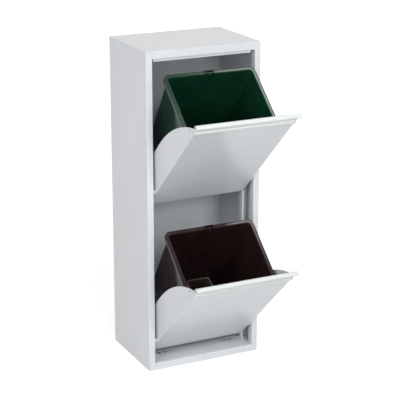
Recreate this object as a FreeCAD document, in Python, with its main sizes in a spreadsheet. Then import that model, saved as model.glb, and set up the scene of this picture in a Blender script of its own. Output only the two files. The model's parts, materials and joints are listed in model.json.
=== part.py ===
"""Double recycling bin: a folded steel cabinet with two tilting doors, each carrying a bucket.

Row frame: millimetres, X to the right, Y to the back, Z up.
The origin is on the floor, midway between the sides, in the plane of the door pivots.
Door frame: the same axes with the door shut, and the origin on the door's pivot line.
Bucket frame: the origin at the middle of the bucket's foot, and Z along the bucket's axis.
The doors are modelled open, resting on their stops.
"""

import FreeCAD, Part
import math
import os
import re

from FreeCAD import Placement, Rotation, Vector
from Sketcher import Constraint

# Driving dimensions: alias, value and meaning. Lengths are in millimetres, angles in degrees.
SIZES = [
    ("cabinet_width", 350, "outside width of the cabinet"),
    ("cabinet_depth", 255, "front face to the outside of the rear skirt"),
    ("cabinet_height", 930, "floor to the top face"),
    ("cabinet_sheet", 1, "thickness of the cabinet's sheet"),
    ("bend_radius", 2, "outer radius of the cabinet's long bends"),
    ("top_edge", 0.6, "radius of the top's edges"),
    ("overcut", 1, "how far a cut runs past the face it opens"),
    ("side_flange", 18.5, "width of the flange at the front of each side"),
    ("flange_return", 20, "depth of the return behind the front flange"),
    ("rear_flange", 15, "width of the flange at the back of each side"),
    ("top_lip", 21.8, "height of the lip under the top's front edge"),
    ("rear_skirt", 20, "height of the skirt at the top's rear edge"),
    ("base_rise", 21.3, "height of the raised floor"),
    ("base_hem", 20, "depth of the hem that stands on the floor"),
    ("floor_hole_radius", 6, "radius of the holes in the raised floor"),
    ("floor_hole_pitch", 18.4, "distance between the two holes of a pair"),
    ("floor_hole_spread", 213, "distance between the middles of the two pairs"),
    ("floor_hole_setback", 64.5, "front face to the holes' centres"),
    ("strip_drop", 31, "top face to the lower edge of the stop strip"),
    ("strip_ledge", 12, "depth of the stop strip's upper leg"),
    ("strip_length", 298, "length of the stop strip"),
    ("door_sheet", 1, "thickness of the doors' sheet"),
    ("door_side_gap", 6.7, "gap between a cheek and the return beside it"),
    ("door_inset", 2, "front face to the face of a shut door"),
    ("door_rise", 2.7, "raised floor to the lower edge of the shut lower door"),
    ("door_pitch", 444, "distance between the two doors' pivots"),
    ("pivot_setback", 10, "front face to the pivot line"),
    ("pivot_rise", 65.5, "lower edge of a shut door to its pivot line"),
    ("open_angle", 47, "angle of a door that rests open on its stop"),
    ("panel_height", 407, "lower to upper edge of a door's front panel"),
    ("cheek_depth", 89.6, "door face to the straight rear edge of a cheek"),
    ("cheek_straight", 189.4, "length of the cheek's straight rear edge"),
    ("cheek_sweep", 352, "radius of the curved shoulder of a cheek"),
    ("cheek_corner", 8, "radius of a cheek's lower rear corner"),
    ("cheek_tip_gap", 0.3, "gap between a cheek's tip and the handle"),
    ("door_fold", 15, "depth of the fold along a door's lower edge"),
    ("door_bend", 5, "outer radius of the bend along a door's lower edge"),
    ("cheek_bend", 2, "outer radius of the bend between panel and cheek"),
    ("grip_radius", 6.5, "outer radius of the handle's round bead"),
    ("grip_wall", 1.6, "wall of the round bead"),
    ("grip_rise", 23.5, "upper edge of the panel to the bead's centre"),
    ("grip_shift", 1.5, "door face back to the bead's centre"),
    ("grip_overhang", 4.9, "length of bead beyond each end of the handle's neck"),
    ("neck_depth", 2.5, "door face to the back of the handle's neck"),
    ("lip_height", 11, "height of the handle's lower lip"),
    ("lip_proud", 3, "how far the handle's lower lip stands in front of the door"),
    ("lip_edge", 1, "radius of the lip's front edges"),
    ("lip_skin", 1, "front of the lip left whole over a screw"),
    ("lip_cover", 10, "how far the handle reaches down over the panel"),
    ("tie_width", 20, "width of a handle bracket along the handle"),
    ("tie_height", 30, "height of a handle bracket"),
    ("tie_reach", 21, "depth of a handle bracket along the cheek"),
    ("tie_ear", 14, "height of a handle bracket's ear on the cheek"),
    ("screw_radius", 1.45, "radius of a handle screw's shank"),
    ("screw_head_radius", 2.8, "radius of a handle screw's head"),
    ("screw_head", 1.6, "height of a handle screw's head"),
    ("screw_reach", 3.2, "length of a handle screw inside the cheek"),
    ("screw_depth_back", 21, "door face to the screw in the cheek"),
    ("screw_drop", 20, "upper edge of the panel to the screw in the cheek"),
    ("bucket_height", 318, "height of a bucket along its axis"),
    ("rim_width", 279.2, "outside width of a bucket's rim"),
    ("rim_depth", 224, "outside depth of a bucket's rim"),
    ("rim_flange", 10, "width of the flange of a bucket's rim"),
    ("rim_skirt", 8.5, "height of the skirt under the rim's edge"),
    ("rim_corner", 20, "outer radius of the rim's corners"),
    ("foot_corner", 11, "radius of the corners at a bucket's foot"),
    ("bucket_wall", 2, "wall of a bucket"),
    ("bucket_draft", 3.3, "draft of a bucket's walls"),
    ("bucket_lean", 5.8, "lean of a bucket's axis back from the door"),
    ("bucket_gap", 1.6, "inside of the panel to the front of a bucket's foot"),
    ("bucket_rise", 23, "lower edge of a door to the front of a bucket's foot"),
    ("foot_recess", 2, "depth of the recess under a bucket"),
    ("foot_border", 12, "width of the border round that recess"),
    ("lug_width", 29, "width of the lug on a bucket's rear rim"),
    ("lug_height", 3.5, "height of that lug above the rim"),
    ("tongue_width", 5, "width of the tongue inside the lug"),
    ("tongue_drop", 6, "reach of the tongue below the rim"),
    ("tongue_depth", 4, "reach of the tongue in from the bucket's wall"),
    ("lug_step", 1, "lug's top down to the tongue's, and the rim's edge in to the lug"),
    ("seat_gap", 0.3, "gap between a bucket or caddy and what carries it"),
    ("shelf_flange", 20, "height of the flange at each side of a shelf"),
    ("shelf_lip", 12, "height of the lip at the back of a shelf"),
    ("shelf_overrun", 5, "foot of the bucket to the shelf's rear lip"),
    ("shelf_front_gap", 1, "front of the bucket's foot back to the shelf's front edge"),
    ("shelf_rivet_setback", 12, "front of the bucket's foot to the first shelf rivet"),
    ("shelf_rivet_pitch", 24, "distance between the shelf rivets"),
    ("shelf_rivet_height", 9, "bucket's foot to the shelf rivets"),
    ("pin_radius", 3, "radius of a pivot pin"),
    ("pin_collar_radius", 5, "radius of a pivot pin's collar"),
    ("pin_collar", 1.2, "thickness of a pivot pin's collar"),
    ("pin_neck_radius", 2.5, "radius of a pivot pin in the return"),
    ("pin_head", 1.5, "thickness of a pivot pin's riveted head"),
    ("pin_reach", 4, "length of a pivot pin inside the cheek"),
    ("bush_radius", 7, "outer radius of a bush between cheek and collar"),
    ("bush_spigot_radius", 4.5, "radius of a bush in the cheek"),
    ("bush_catch_radius", 6, "radius of a bush's catch inside the cheek"),
    ("bush_catch", 1.5, "thickness of a bush's catch inside the cheek"),
    ("running_fit", 0.05, "radial clearance of a shaft in its hole"),
    ("running_gap", 0.3, "end gap between moving faces"),
    ("stop_gap", 0.3, "gap between a stop and what it meets"),
    ("stud_radius", 2.5, "radius of a stop stud"),
    ("stud_shank_radius", 1.5, "radius of a stop stud's shank"),
    ("stud_head_radius", 3, "radius of a stop stud's riveted head"),
    ("stud_head", 1.2, "thickness of a stop stud's riveted head"),
    ("stud_inset", 4.5, "door's face and lower edge to the opening stop's stud"),
    ("bracket_side_gap", 0.4, "gap between a cheek and the stop bracket beside it"),
    ("bracket_sheet", 1.5, "thickness of a stop bracket's sheet"),
    ("bracket_lip", 6, "width of a stop bracket's front lip"),
    ("bracket_depth", 19, "depth of a stop bracket's web"),
    ("bracket_foot", 15, "depth of a stop bracket's foot on the wall"),
    ("bracket_drop", 40, "pivot line to the top of a stop bracket"),
    ("bracket_length", 118.5, "height of an upper stop bracket"),
    ("rivet_radius", 1.6, "radius of a rivet"),
    ("rivet_head_radius", 3.2, "radius of a rivet's head"),
    ("rivet_head", 0.9, "thickness of a rivet's head"),
    ("rivet_tail_radius", 2.4, "radius of a rivet's tail"),
    ("rivet_tail", 2, "length of a rivet's tail"),
    ("back_rivet_margin", 60, "ends of the back panel to its first rivets"),
    ("caddy_width", 70, "outside width of the caddy's rim"),
    ("caddy_depth", 53, "outside depth of the caddy's rim"),
    ("caddy_height", 105, "height of the caddy"),
    ("caddy_wall", 1.5, "wall of the caddy"),
    ("caddy_draft", 4, "draft of the caddy's walls"),
    ("caddy_corner", 10, "outer radius of the caddy's rim corners"),
    ("caddy_foot_corner", 5, "radius of the corners at the caddy's foot"),
    ("caddy_rim", 2, "width of the caddy's rim"),
    ("caddy_rim_height", 4, "height of the caddy's rim"),
    ("hook_width", 24, "width of the caddy's hook"),
    ("hook_sheet", 1.5, "thickness of the caddy's hook"),
    ("hook_drop", 5, "reach of the caddy's hook down the skirt"),
]

BACK_RIVET_ROWS = 4
NEAR = 0.01
SIDES = (("left", -1), ("right", 1))

# Places worked out from the sizes: alias and formula.
PLACES = [
    ("half_width", "cabinet_width / 2"),
    ("wall_inside", "half_width - cabinet_sheet"),
    ("opening_side", "half_width - side_flange"),
    ("front", "-pivot_setback"),
    ("skirt_back", "front + cabinet_depth"),
    ("skirt_front", "skirt_back - cabinet_sheet"),
    ("back_front", "skirt_front - cabinet_sheet"),
    ("flange_front", "back_front - cabinet_sheet"),
    ("lip_back", "front + cabinet_sheet"),
    ("return_back", "front + flange_return"),
    ("top_under", "cabinet_height - cabinet_sheet"),
    ("floor_under", "base_rise - cabinet_sheet"),
    ("hole_row", "front + floor_hole_setback"),
    ("back_top", "top_under - seat_gap"),
    ("lower_pivot", "base_rise + door_rise + pivot_rise"),
    ("upper_pivot", "lower_pivot + door_pitch"),
    ("cheek_outside", "opening_side - door_side_gap"),
    ("cheek_inside", "cheek_outside - door_sheet"),
    ("panel_face", "door_inset - pivot_setback"),
    ("panel_inside", "panel_face + door_sheet"),
    ("panel_foot", "-pivot_rise"),
    ("panel_top", "panel_foot + panel_height"),
    ("cheek_back", "panel_face + cheek_depth"),
    ("neck_back", "panel_face + neck_depth"),
    ("grip_y", "panel_face + grip_shift"),
    ("grip_z", "panel_top + grip_rise"),
    ("grip_half", "cheek_outside + grip_overhang"),
    ("neck_top", "grip_z - grip_radius + grip_wall / 2"),
    ("lip_foot", "panel_top - lip_cover"),
    ("lip_top", "lip_foot + lip_height"),
    ("lip_face", "panel_face - lip_proud"),
    ("leg_half", "cheek_inside - cheek_tip_gap"),
    ("tie_top", "lip_top"),
    ("tie_foot", "tie_top - tie_height"),
    ("tie_back", "neck_back + door_sheet"),
    ("cheek_screw_y", "panel_face + screw_depth_back"),
    ("cheek_screw_z", "panel_top - screw_drop"),
    ("lip_screw_x", "cheek_inside - tie_width / 2"),
    ("lip_screw_z", "lip_foot + lip_height / 2"),
    ("strip_face", "grip_y + grip_radius + stop_gap"),
    ("strip_foot", "cabinet_height - strip_drop"),
    ("mouth_width", "rim_width - 2 * rim_flange"),
    ("mouth_depth", "rim_depth - 2 * rim_flange"),
    ("bucket_taper", "2 * bucket_height * tan(bucket_draft)"),
    ("foot_width", "mouth_width - bucket_taper"),
    ("foot_depth", "mouth_depth - bucket_taper"),
    ("foot_half", "foot_depth / 2"),
    ("foot_y", "panel_inside + bucket_gap + foot_half * cos(bucket_lean)"),
    ("foot_z", "panel_foot + bucket_rise - foot_half * sin(bucket_lean)"),
    ("bucket_y", "foot_y * cos(open_angle) - foot_z * sin(open_angle)"),
    ("bucket_z", "foot_y * sin(open_angle) + foot_z * cos(open_angle)"),
    ("lower_bucket_z", "lower_pivot + bucket_z"),
    ("upper_bucket_z", "upper_pivot + bucket_z"),
    ("bucket_angle", "open_angle - bucket_lean"),
    ("shelf_front", "shelf_front_gap - foot_half"),
    ("shelf_back", "foot_half + shelf_overrun"),
    ("shelf_top", "-seat_gap"),
    ("shelf_under", "shelf_top - door_sheet"),
    ("rivet_a_y", "shelf_rivet_setback - foot_half"),
    ("rivet_b_y", "rivet_a_y + shelf_rivet_pitch"),
    ("rivet_row_y", "foot_y + shelf_rivet_height * sin(bucket_lean)"),
    ("rivet_row_z", "foot_z + shelf_rivet_height * cos(bucket_lean)"),
    ("hole_a_y", "rivet_row_y + rivet_a_y * cos(bucket_lean)"),
    ("hole_a_z", "rivet_row_z - rivet_a_y * sin(bucket_lean)"),
    ("hole_b_y", "rivet_row_y + rivet_b_y * cos(bucket_lean)"),
    ("hole_b_z", "rivet_row_z - rivet_b_y * sin(bucket_lean)"),
    ("open_stud_y", "panel_face + stud_inset"),
    ("open_stud_z", "panel_foot + stud_inset"),
    ("stopped_y", "open_stud_y * cos(open_angle) - open_stud_z * sin(open_angle)"),
    ("bracket_front", "stopped_y + stud_radius + stop_gap"),
    ("bracket_back", "bracket_front + bracket_depth"),
    ("bracket_side", "cheek_outside + bracket_side_gap"),
    ("shut_stud_y", "bracket_front + bracket_depth / 2"),
    ("shut_stud_z", "stud_radius + stop_gap - bracket_drop"),
    ("shut_stud_dy", "shut_stud_y - foot_y"),
    ("shut_stud_dz", "shut_stud_z - foot_z"),
    ("shelf_stud_y", "shut_stud_dy * cos(bucket_lean) - shut_stud_dz * sin(bucket_lean)"),
    ("shelf_stud_z", "shut_stud_dy * sin(bucket_lean) + shut_stud_dz * cos(bucket_lean)"),
    ("upper_bracket_top", "upper_pivot - bracket_drop"),
    ("upper_bracket_foot", "upper_bracket_top - bracket_length"),
    ("lower_bracket_top", "lower_pivot - bracket_drop"),
    ("collar_side", "opening_side - pin_collar"),
    ("bush_side", "collar_side - running_gap"),
    ("stud_end", "opening_side - running_gap - pin_collar"),
    ("shelf_side", "cheek_inside - door_sheet"),
    ("back_rivet_x", "wall_inside - rear_flange / 2"),
    ("back_rivet_pitch", f"(back_top - 2 * back_rivet_margin) / {BACK_RIVET_ROWS - 1}"),
    ("caddy_left", "bucket_wall + seat_gap - mouth_width / 2"),
    ("caddy_front", "bucket_wall + seat_gap - mouth_depth / 2"),
    ("caddy_x", "caddy_left + caddy_width / 2"),
    ("caddy_y", "caddy_front + caddy_depth / 2"),
    ("caddy_foot", "bucket_height - caddy_height"),
    ("caddy_body_width", "caddy_width - 2 * caddy_rim"),
    ("caddy_body_depth", "caddy_depth - 2 * caddy_rim"),
    ("caddy_taper", "2 * caddy_height * tan(caddy_draft)"),
    ("hook_top", "bucket_height + seat_gap + hook_sheet"),
    ("hook_out", "-rim_width / 2 - seat_gap - hook_sheet"),
]

doc = FreeCAD.newDocument("double_recycling_bin")
ALIASES = {}


def fill_sheet(name, rows, is_formula):
    """Write one spreadsheet, and remember which sheet holds each alias."""
    sheet = doc.addObject("Spreadsheet::Sheet", name)
    for number, row in enumerate(rows, start=1):
        alias = row[0]
        content = "=" + expand(row[1]) if is_formula else str(row[1])
        sheet.set(f"A{number}", alias if is_formula else row[2])
        sheet.set(f"B{number}", content)
        sheet.setAlias(f"B{number}", alias)
        ALIASES[alias] = f"{name}.{alias}"
    return sheet


def expand(formula):
    """Turn each bare alias of a formula into the sheet's own name for it."""
    return re.sub(r"[a-z_]{3,}", lambda word: ALIASES.get(word.group(), word.group()), formula)


def value(alias):
    """The number that a sheet holds now."""
    sheet_name = ALIASES[alias].split(".")[0]
    return float(doc.getObject(sheet_name).get(alias))


def bind(item, prop, formula):
    """Bind one property to a formula of the sheets' aliases."""
    item.setExpression(prop, expand(formula))


def new_body(name):
    """One sub-part: a body whose label names its file."""
    body = doc.addObject("PartDesign::Body", name)
    body.Label = name
    return body


def is_node(item):
    """Whether a document object is a sub-part: a body, or a group of alike fasteners."""
    return item.TypeId in ("PartDesign::Body", "Part::Compound")


def place_block(item, spans):
    """Bind a box to its low and high formula along X, Y and Z."""
    for axis, size, span in zip("xyz", ("Length", "Width", "Height"), spans):
        bind(item, size, f"({span[1]}) - ({span[0]})")
        bind(item, f"Placement.Base.{axis}", span[0])


def add_block(body, name, *spans):
    """Add a box to a body."""
    block = body.newObject("PartDesign::AdditiveBox", name)
    place_block(block, spans)


def cut_block(body, name, *spans):
    """Cut a box out of a body."""
    block = body.newObject("PartDesign::SubtractiveBox", name)
    place_block(block, spans)


TURNS = {
    "x": Rotation(Vector(0, 1, 0), 90),
    "y": Rotation(Vector(1, 0, 0), -90),
    "z": Rotation(),
}


def place_rod(item, axis, spans, radius):
    """Bind a cylinder: spans holds its two ends along its axis and its centre along the others."""
    item.Placement = Placement(Vector(), TURNS[axis])
    bind(item, "Radius", radius)
    for name, span in zip("xyz", spans):
        if name == axis:
            bind(item, "Height", f"({span[1]}) - ({span[0]})")
            bind(item, f"Placement.Base.{name}", span[0])
        else:
            bind(item, f"Placement.Base.{name}", span)


def add_rod(body, name, axis, spans, radius):
    """Add a cylinder to a body."""
    rod = body.newObject("PartDesign::AdditiveCylinder", name)
    place_rod(rod, axis, spans, radius)


def cut_rod(body, name, axis, spans, radius):
    """Cut a round hole in a body."""
    rod = body.newObject("PartDesign::SubtractiveCylinder", name)
    place_rod(rod, axis, spans, radius)


def round_edges(body, name, radius, *spots):
    """Round the straight edges that lie at the given places.

    A spot gives two of the coordinates x, y and z, so it names the edges along the third.
    """
    doc.recompute()
    base = body.Tip
    found = []
    for number, edge in enumerate(base.Shape.Edges, start=1):
        ends = [vertex.Point for vertex in edge.Vertexes]
        for spot in spots:
            if len(ends) == 2 and all(lies_on(end, spot) for end in ends):
                found.append(f"Edge{number}")
    fillet = body.newObject("PartDesign::Fillet", name)
    fillet.Base = (base, found)
    bind(fillet, "Radius", radius)
    body.Tip = fillet


def lies_on(point, spot):
    """Whether a point has each coordinate that the spot gives."""
    return all(abs(getattr(point, axis) - place) < NEAR for axis, place in spot.items())


def mirrored(side, low, high):
    """A span along X on the right side of the part, or its mirror on the left."""
    if side > 0:
        return (low, high)
    return (f"-({high})", f"-({low})")


def hinge_on(item, pivot):
    """Turn a door piece about its pivot to the open stop."""
    item.Placement = Placement(Vector(), Rotation(Vector(1, 0, 0), value("open_angle")))
    bind(item, "Placement.Rotation.Angle", "open_angle")
    bind(item, "Placement.Base.z", pivot)


def seat_on_shelf(item, height):
    """Put a piece of the bucket frame where the bucket stands at rest."""
    item.Placement = Placement(Vector(), Rotation(Vector(1, 0, 0), value("bucket_angle")))
    bind(item, "Placement.Rotation.Angle", "bucket_angle")
    bind(item, "Placement.Base.y", "bucket_y")
    bind(item, "Placement.Base.z", height)


def plane_of(body, role):
    """One of the body's own origin planes."""
    return next(part for part in body.Origin.OriginFeatures if part.Role == role)


def new_sketch(body, name, role, offset=None):
    """A sketch on one of the body's origin planes, raised by a formula."""
    sketch = body.newObject("Sketcher::SketchObject", name)
    sketch.AttachmentSupport = (plane_of(body, role), [""])
    sketch.MapMode = "FlatFace"
    if offset:
        bind(sketch, "AttachmentOffset.Base.z", offset)
    return sketch


def dimension(sketch, name, kind, places, formula, start):
    """Add one driving constraint to a sketch and bind it."""
    number = sketch.addConstraint(Constraint(kind, *places, start))
    sketch.renameConstraint(number, name)
    bind(sketch, f"Constraints.{name}", formula)


def evaluate(formula):
    """The number that a formula of aliases gives now."""
    probe = doc.getObject("Probe") or doc.addObject("Spreadsheet::Sheet", "Probe")
    probe.set("A1", "=" + expand(formula))
    probe.recompute()
    return float(probe.get("A1"))


def rounded_rectangle(sketch, width, depth, corner, middle=("0", "0")):
    """Draw a rectangle with round corners, fully bound to formulas."""
    radius = evaluate(corner)
    centre = Vector(evaluate(middle[0]), evaluate(middle[1]), 0)
    half_width = evaluate(width) / 2
    half_depth = evaluate(depth) / 2
    left = centre.x - half_width
    right = centre.x + half_width
    low = centre.y - half_depth
    high = centre.y + half_depth
    lines = [
        ((left + radius, low), (right - radius, low)),
        ((right, low + radius), (right, high - radius)),
        ((right - radius, high), (left + radius, high)),
        ((left, high - radius), (left, low + radius)),
    ]
    for start, end in lines:
        sketch.addGeometry(Part.LineSegment(Vector(*start, 0), Vector(*end, 0)))
    inner_x = half_width - radius
    inner_y = half_depth - radius
    for turn, (side_x, side_y) in enumerate(((1, -1), (1, 1), (-1, 1), (-1, -1))):
        middle_of_arc = centre + Vector(side_x * inner_x, side_y * inner_y, 0)
        circle = Part.Circle(middle_of_arc, Vector(0, 0, 1), radius)
        start = math.pi / 2 * (turn - 1)
        sketch.addGeometry(Part.ArcOfCircle(circle, start, start + math.pi / 2))
    for side in range(4):
        sketch.addConstraint(Constraint("Tangent", side, 2, 4 + side, 1))
        sketch.addConstraint(Constraint("Tangent", 4 + side, 2, (side + 1) % 4, 1))
    sketch.addConstraint(Constraint("Horizontal", 0))
    sketch.addConstraint(Constraint("Vertical", 1))
    sketch.addConstraint(Constraint("Horizontal", 2))
    sketch.addConstraint(Constraint("Vertical", 3))
    for arc in (5, 6, 7):
        sketch.addConstraint(Constraint("Equal", 4, arc))
    dimension(sketch, "corner", "Radius", (4,), corner, radius)
    dimension(sketch, "right", "DistanceX", (-1, 1, 1, 1), f"({middle[0]}) + ({width}) / 2", right)
    dimension(sketch, "left", "DistanceX", (3, 1, -1, 1), f"({width}) / 2 - ({middle[0]})", -left)
    dimension(sketch, "high", "DistanceY", (-1, 1, 2, 1), f"({middle[1]}) + ({depth}) / 2", high)
    dimension(sketch, "low", "DistanceY", (0, 1, -1, 1), f"({depth}) / 2 - ({middle[1]})", -low)


def loft_between(body, name, kind, foot, mouth):
    """Loft from a foot sketch to a mouth sketch."""
    loft = body.newObject(f"PartDesign::{kind}", name)
    loft.Profile = foot
    loft.Sections = [mouth]
    loft.Ruled = True
    foot.Visibility = False


# Cabinet ------------------------------------------------------------------------------------------


def make_side_panel(name, side):
    """A side wall with its front flange and return, its rear flange and the holes in them."""
    body = new_body(name)
    height = ("0", "top_under")
    wall = mirrored(side, "wall_inside", "half_width")
    add_block(body, "wall", wall, ("front", "back_front"), height)
    flange = mirrored(side, "opening_side", "half_width")
    add_block(body, "front_flange", flange, ("front", "lip_back"), height)
    inner = mirrored(side, "opening_side", "opening_side + cabinet_sheet")
    add_block(body, "return", inner, ("front", "return_back"), height)
    rear = mirrored(side, "wall_inside - rear_flange", "half_width")
    add_block(body, "rear_flange", rear, ("flange_front", "back_front"), height)
    for level in ("lower_pivot", "upper_pivot"):
        through = mirrored(side, "opening_side - overcut", "opening_side + cabinet_sheet + overcut")
        cut_rod(body, f"{level}_hole", "x", (through, "0", level), "pin_neck_radius + running_fit")
    for row in range(BACK_RIVET_ROWS):
        level = f"back_rivet_margin + back_rivet_pitch * {row}"
        hole = (f"{side} * back_rivet_x", ("flange_front - overcut", "back_front + overcut"), level)
        cut_rod(body, f"rivet_hole_{row}", "y", hole, "rivet_radius + running_fit")
    front = value("front")
    outer = {"x": side * value("half_width"), "y": front}
    inner_edge = {"x": side * value("opening_side"), "y": front}
    round_edges(body, "front_bends", "bend_radius", outer)
    round_edges(body, "return_bend", "bend_radius - cabinet_sheet", inner_edge)


def make_top_panel():
    """The top with its front lip and its rear skirt."""
    body = new_body("top_panel")
    width = ("-half_width", "half_width")
    add_block(body, "top", width, ("front", "skirt_back"), ("top_under", "cabinet_height"))
    mouth = ("-opening_side", "opening_side")
    add_block(body, "lip", mouth, ("front", "lip_back"), ("cabinet_height - top_lip", "top_under"))
    skirt = ("cabinet_height - rear_skirt", "top_under")
    add_block(body, "skirt", width, ("skirt_front", "skirt_back"), skirt)
    top = value("cabinet_height")
    corners = [{"y": value("front"), "z": top}, {"y": value("skirt_back"), "z": top}]
    sides = [{"x": value("half_width") * side, "z": top} for _, side in SIDES]
    round_edges(body, "edges", "top_edge", *corners, *sides)


def make_base_panel():
    """The raised floor with its front lip, hem, side skirts, rear skirt and four holes."""
    body = new_body("base_panel")
    mouth = ("-opening_side", "opening_side")
    walls = ("-wall_inside", "wall_inside")
    floor = ("floor_under", "base_rise")
    add_block(body, "front_floor", mouth, ("front", "return_back"), floor)
    add_block(body, "floor", walls, ("return_back", "flange_front"), floor)
    add_block(body, "lip", mouth, ("front", "lip_back"), ("0", "base_rise"))
    add_block(body, "hem", mouth, ("front", "front + base_hem"), ("0", "cabinet_sheet"))
    below = ("0", "base_rise")
    for name, side in SIDES:
        skirt = mirrored(side, "wall_inside - cabinet_sheet", "wall_inside")
        add_block(body, f"{name}_skirt", skirt, ("return_back", "flange_front"), below)
    add_block(body, "rear_skirt", walls, ("flange_front - cabinet_sheet", "flange_front"), below)
    for name, side in SIDES:
        for hole, step in (("outer", 1), ("inner", -1)):
            across = f"{side} * (floor_hole_spread + {step} * floor_hole_pitch) / 2"
            spot = (across, "hole_row", ("floor_under - overcut", "base_rise + overcut"))
            cut_rod(body, f"{name}_{hole}_hole", "z", spot, "floor_hole_radius")
    round_edges(body, "lip_bend", "bend_radius", {"y": value("front"), "z": value("base_rise")})


def make_back_panel():
    """The flat back, with a hole for each of its rivets."""
    body = new_body("back_panel")
    width = ("-half_width", "half_width")
    add_block(body, "sheet", width, ("back_front", "skirt_front"), ("0", "back_top"))
    for name, side in SIDES:
        for row in range(BACK_RIVET_ROWS):
            level = f"back_rivet_margin + back_rivet_pitch * {row}"
            through = ("back_front - overcut", "skirt_front + overcut")
            spot = (f"{side} * back_rivet_x", through, level)
            cut_rod(body, f"{name}_hole_{row}", "y", spot, "rivet_radius + running_fit")


def make_stop_strip():
    """The angle behind the top lip that the upper handle meets."""
    body = new_body("top_stop_strip")
    width = ("-strip_length / 2", "strip_length / 2")
    face = ("strip_face", "strip_face + cabinet_sheet")
    add_block(body, "leg", width, face, ("strip_foot", "top_under"))
    ledge = ("top_under - cabinet_sheet", "top_under")
    add_block(body, "ledge", width, ("strip_face", "strip_face + strip_ledge"), ledge)


def make_stop_bracket(name, side, foot, top):
    """A lipped bracket on the wall: lip, web beside the cheek, leg to the wall and foot."""
    body = new_body(name)
    height = (foot, top)
    sheet = "bracket_sheet"
    lip = mirrored(side, "bracket_side", "bracket_side + bracket_lip")
    add_block(body, "lip", lip, ("bracket_front", f"bracket_front + {sheet}"), height)
    web = mirrored(side, "bracket_side", f"bracket_side + {sheet}")
    add_block(body, "web", web, ("bracket_front", "bracket_back"), height)
    leg = mirrored(side, "bracket_side", "wall_inside")
    add_block(body, "leg", leg, (f"bracket_back - {sheet}", "bracket_back"), height)
    on_wall = mirrored(side, f"wall_inside - {sheet}", "wall_inside")
    add_block(body, "foot", on_wall, (f"bracket_back - {sheet}", "bracket_back + bracket_foot"), height)
    edge = side * value("bracket_side")
    front_edge = {"x": edge, "y": value("bracket_front")}
    back_edge = {"x": edge, "y": value("bracket_back")}
    round_edges(body, "bends", sheet, front_edge, back_edge)


def make_pivot_pin(name, side, level):
    """A stepped pin riveted in the return, with its collar on the door's side."""
    body = new_body(name)
    end = "cheek_inside - pin_reach"
    add_rod(body, "shaft", "x", (mirrored(side, end, "collar_side"), "0", level), "pin_radius")
    collar = mirrored(side, "collar_side", "opening_side")
    add_rod(body, "collar", "x", (collar, "0", level), "pin_collar_radius")
    outside = "opening_side + cabinet_sheet"
    add_rod(body, "neck", "x", (mirrored(side, "opening_side", outside), "0", level), "pin_neck_radius")
    head = mirrored(side, outside, f"{outside} + pin_head")
    add_rod(body, "head", "x", (head, "0", level), "pin_collar_radius")


# Fasteners ----------------------------------------------------------------------------------------


def fastener(name, axis, steps):
    """One solid of coaxial cylinders, each given by its spans and its radius."""
    rods = []
    for number, (spans, radius) in enumerate(steps):
        rod = doc.addObject("Part::Cylinder", f"{name}_{number}")
        place_rod(rod, axis, spans, radius)
        rods.append(rod)
    solid = doc.addObject("Part::MultiFuse", name)
    solid.Shapes = rods
    solid.Refine = True
    return solid


def group(name, solids):
    """One node of separate, alike fasteners."""
    node = doc.addObject("Part::Compound", name)
    node.Links = solids
    node.Label = name
    return node


def make_back_rivets():
    """The rivets through the back panel and the sides' rear flanges."""
    rivets = []
    for side_name, side in SIDES:
        for row in range(BACK_RIVET_ROWS):
            across = f"{side} * back_rivet_x"
            level = f"back_rivet_margin + back_rivet_pitch * {row}"
            head = ("skirt_front", "skirt_front + rivet_head")
            shank = ("flange_front", "skirt_front")
            tail = ("flange_front - rivet_tail", "flange_front")
            steps = [
                ((across, head, level), "rivet_head_radius"),
                ((across, shank, level), "rivet_radius"),
                ((across, tail, level), "rivet_tail_radius"),
            ]
            rivets.append(fastener(f"back_rivet_{side_name}_{row}", "y", steps))
    group("back_panel_rivets", rivets)


def make_shelf_rivets(door, level):
    """The rivets that hold a shelf's flanges to the cheeks, in the bucket frame."""
    rivets = []
    height = "shelf_rivet_height"
    for side_name, side in SIDES:
        for spot in ("rivet_a_y", "rivet_b_y"):
            head = mirrored(side, "cheek_outside", "cheek_outside + rivet_head / 2")
            shank = mirrored(side, "shelf_side", "cheek_outside")
            tail = mirrored(side, "shelf_side - rivet_tail", "shelf_side")
            steps = [
                ((head, spot, height), "rivet_head_radius"),
                ((shank, spot, height), "rivet_radius"),
                ((tail, spot, height), "rivet_tail_radius"),
            ]
            rivets.append(fastener(f"{door}_{side_name}_{spot[:7]}", "x", steps))
    seat_on_shelf(group(f"{door}_shelf_rivets", rivets), level)


def make_stop_studs(door, pivot):
    """Two studs on each cheek: the front one stops the opening door, the rear one the shutting one."""
    studs = []
    for side_name, side in SIDES:
        for name, along, up, inside in (
            ("open", "open_stud_y", "open_stud_z", "cheek_inside"),
            ("shut", "shut_stud_y", "shut_stud_z", "shelf_side"),
        ):
            peg = mirrored(side, "cheek_outside", "stud_end")
            shank = mirrored(side, inside, "cheek_outside")
            head = mirrored(side, f"{inside} - stud_head", inside)
            steps = [
                ((peg, along, up), "stud_radius"),
                ((shank, along, up), "stud_shank_radius"),
                ((head, along, up), "stud_head_radius"),
            ]
            studs.append(fastener(f"{door}_{side_name}_{name}_stud", "x", steps))
    hinge_on(group(f"{door}_stop_studs", studs), pivot)


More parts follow.
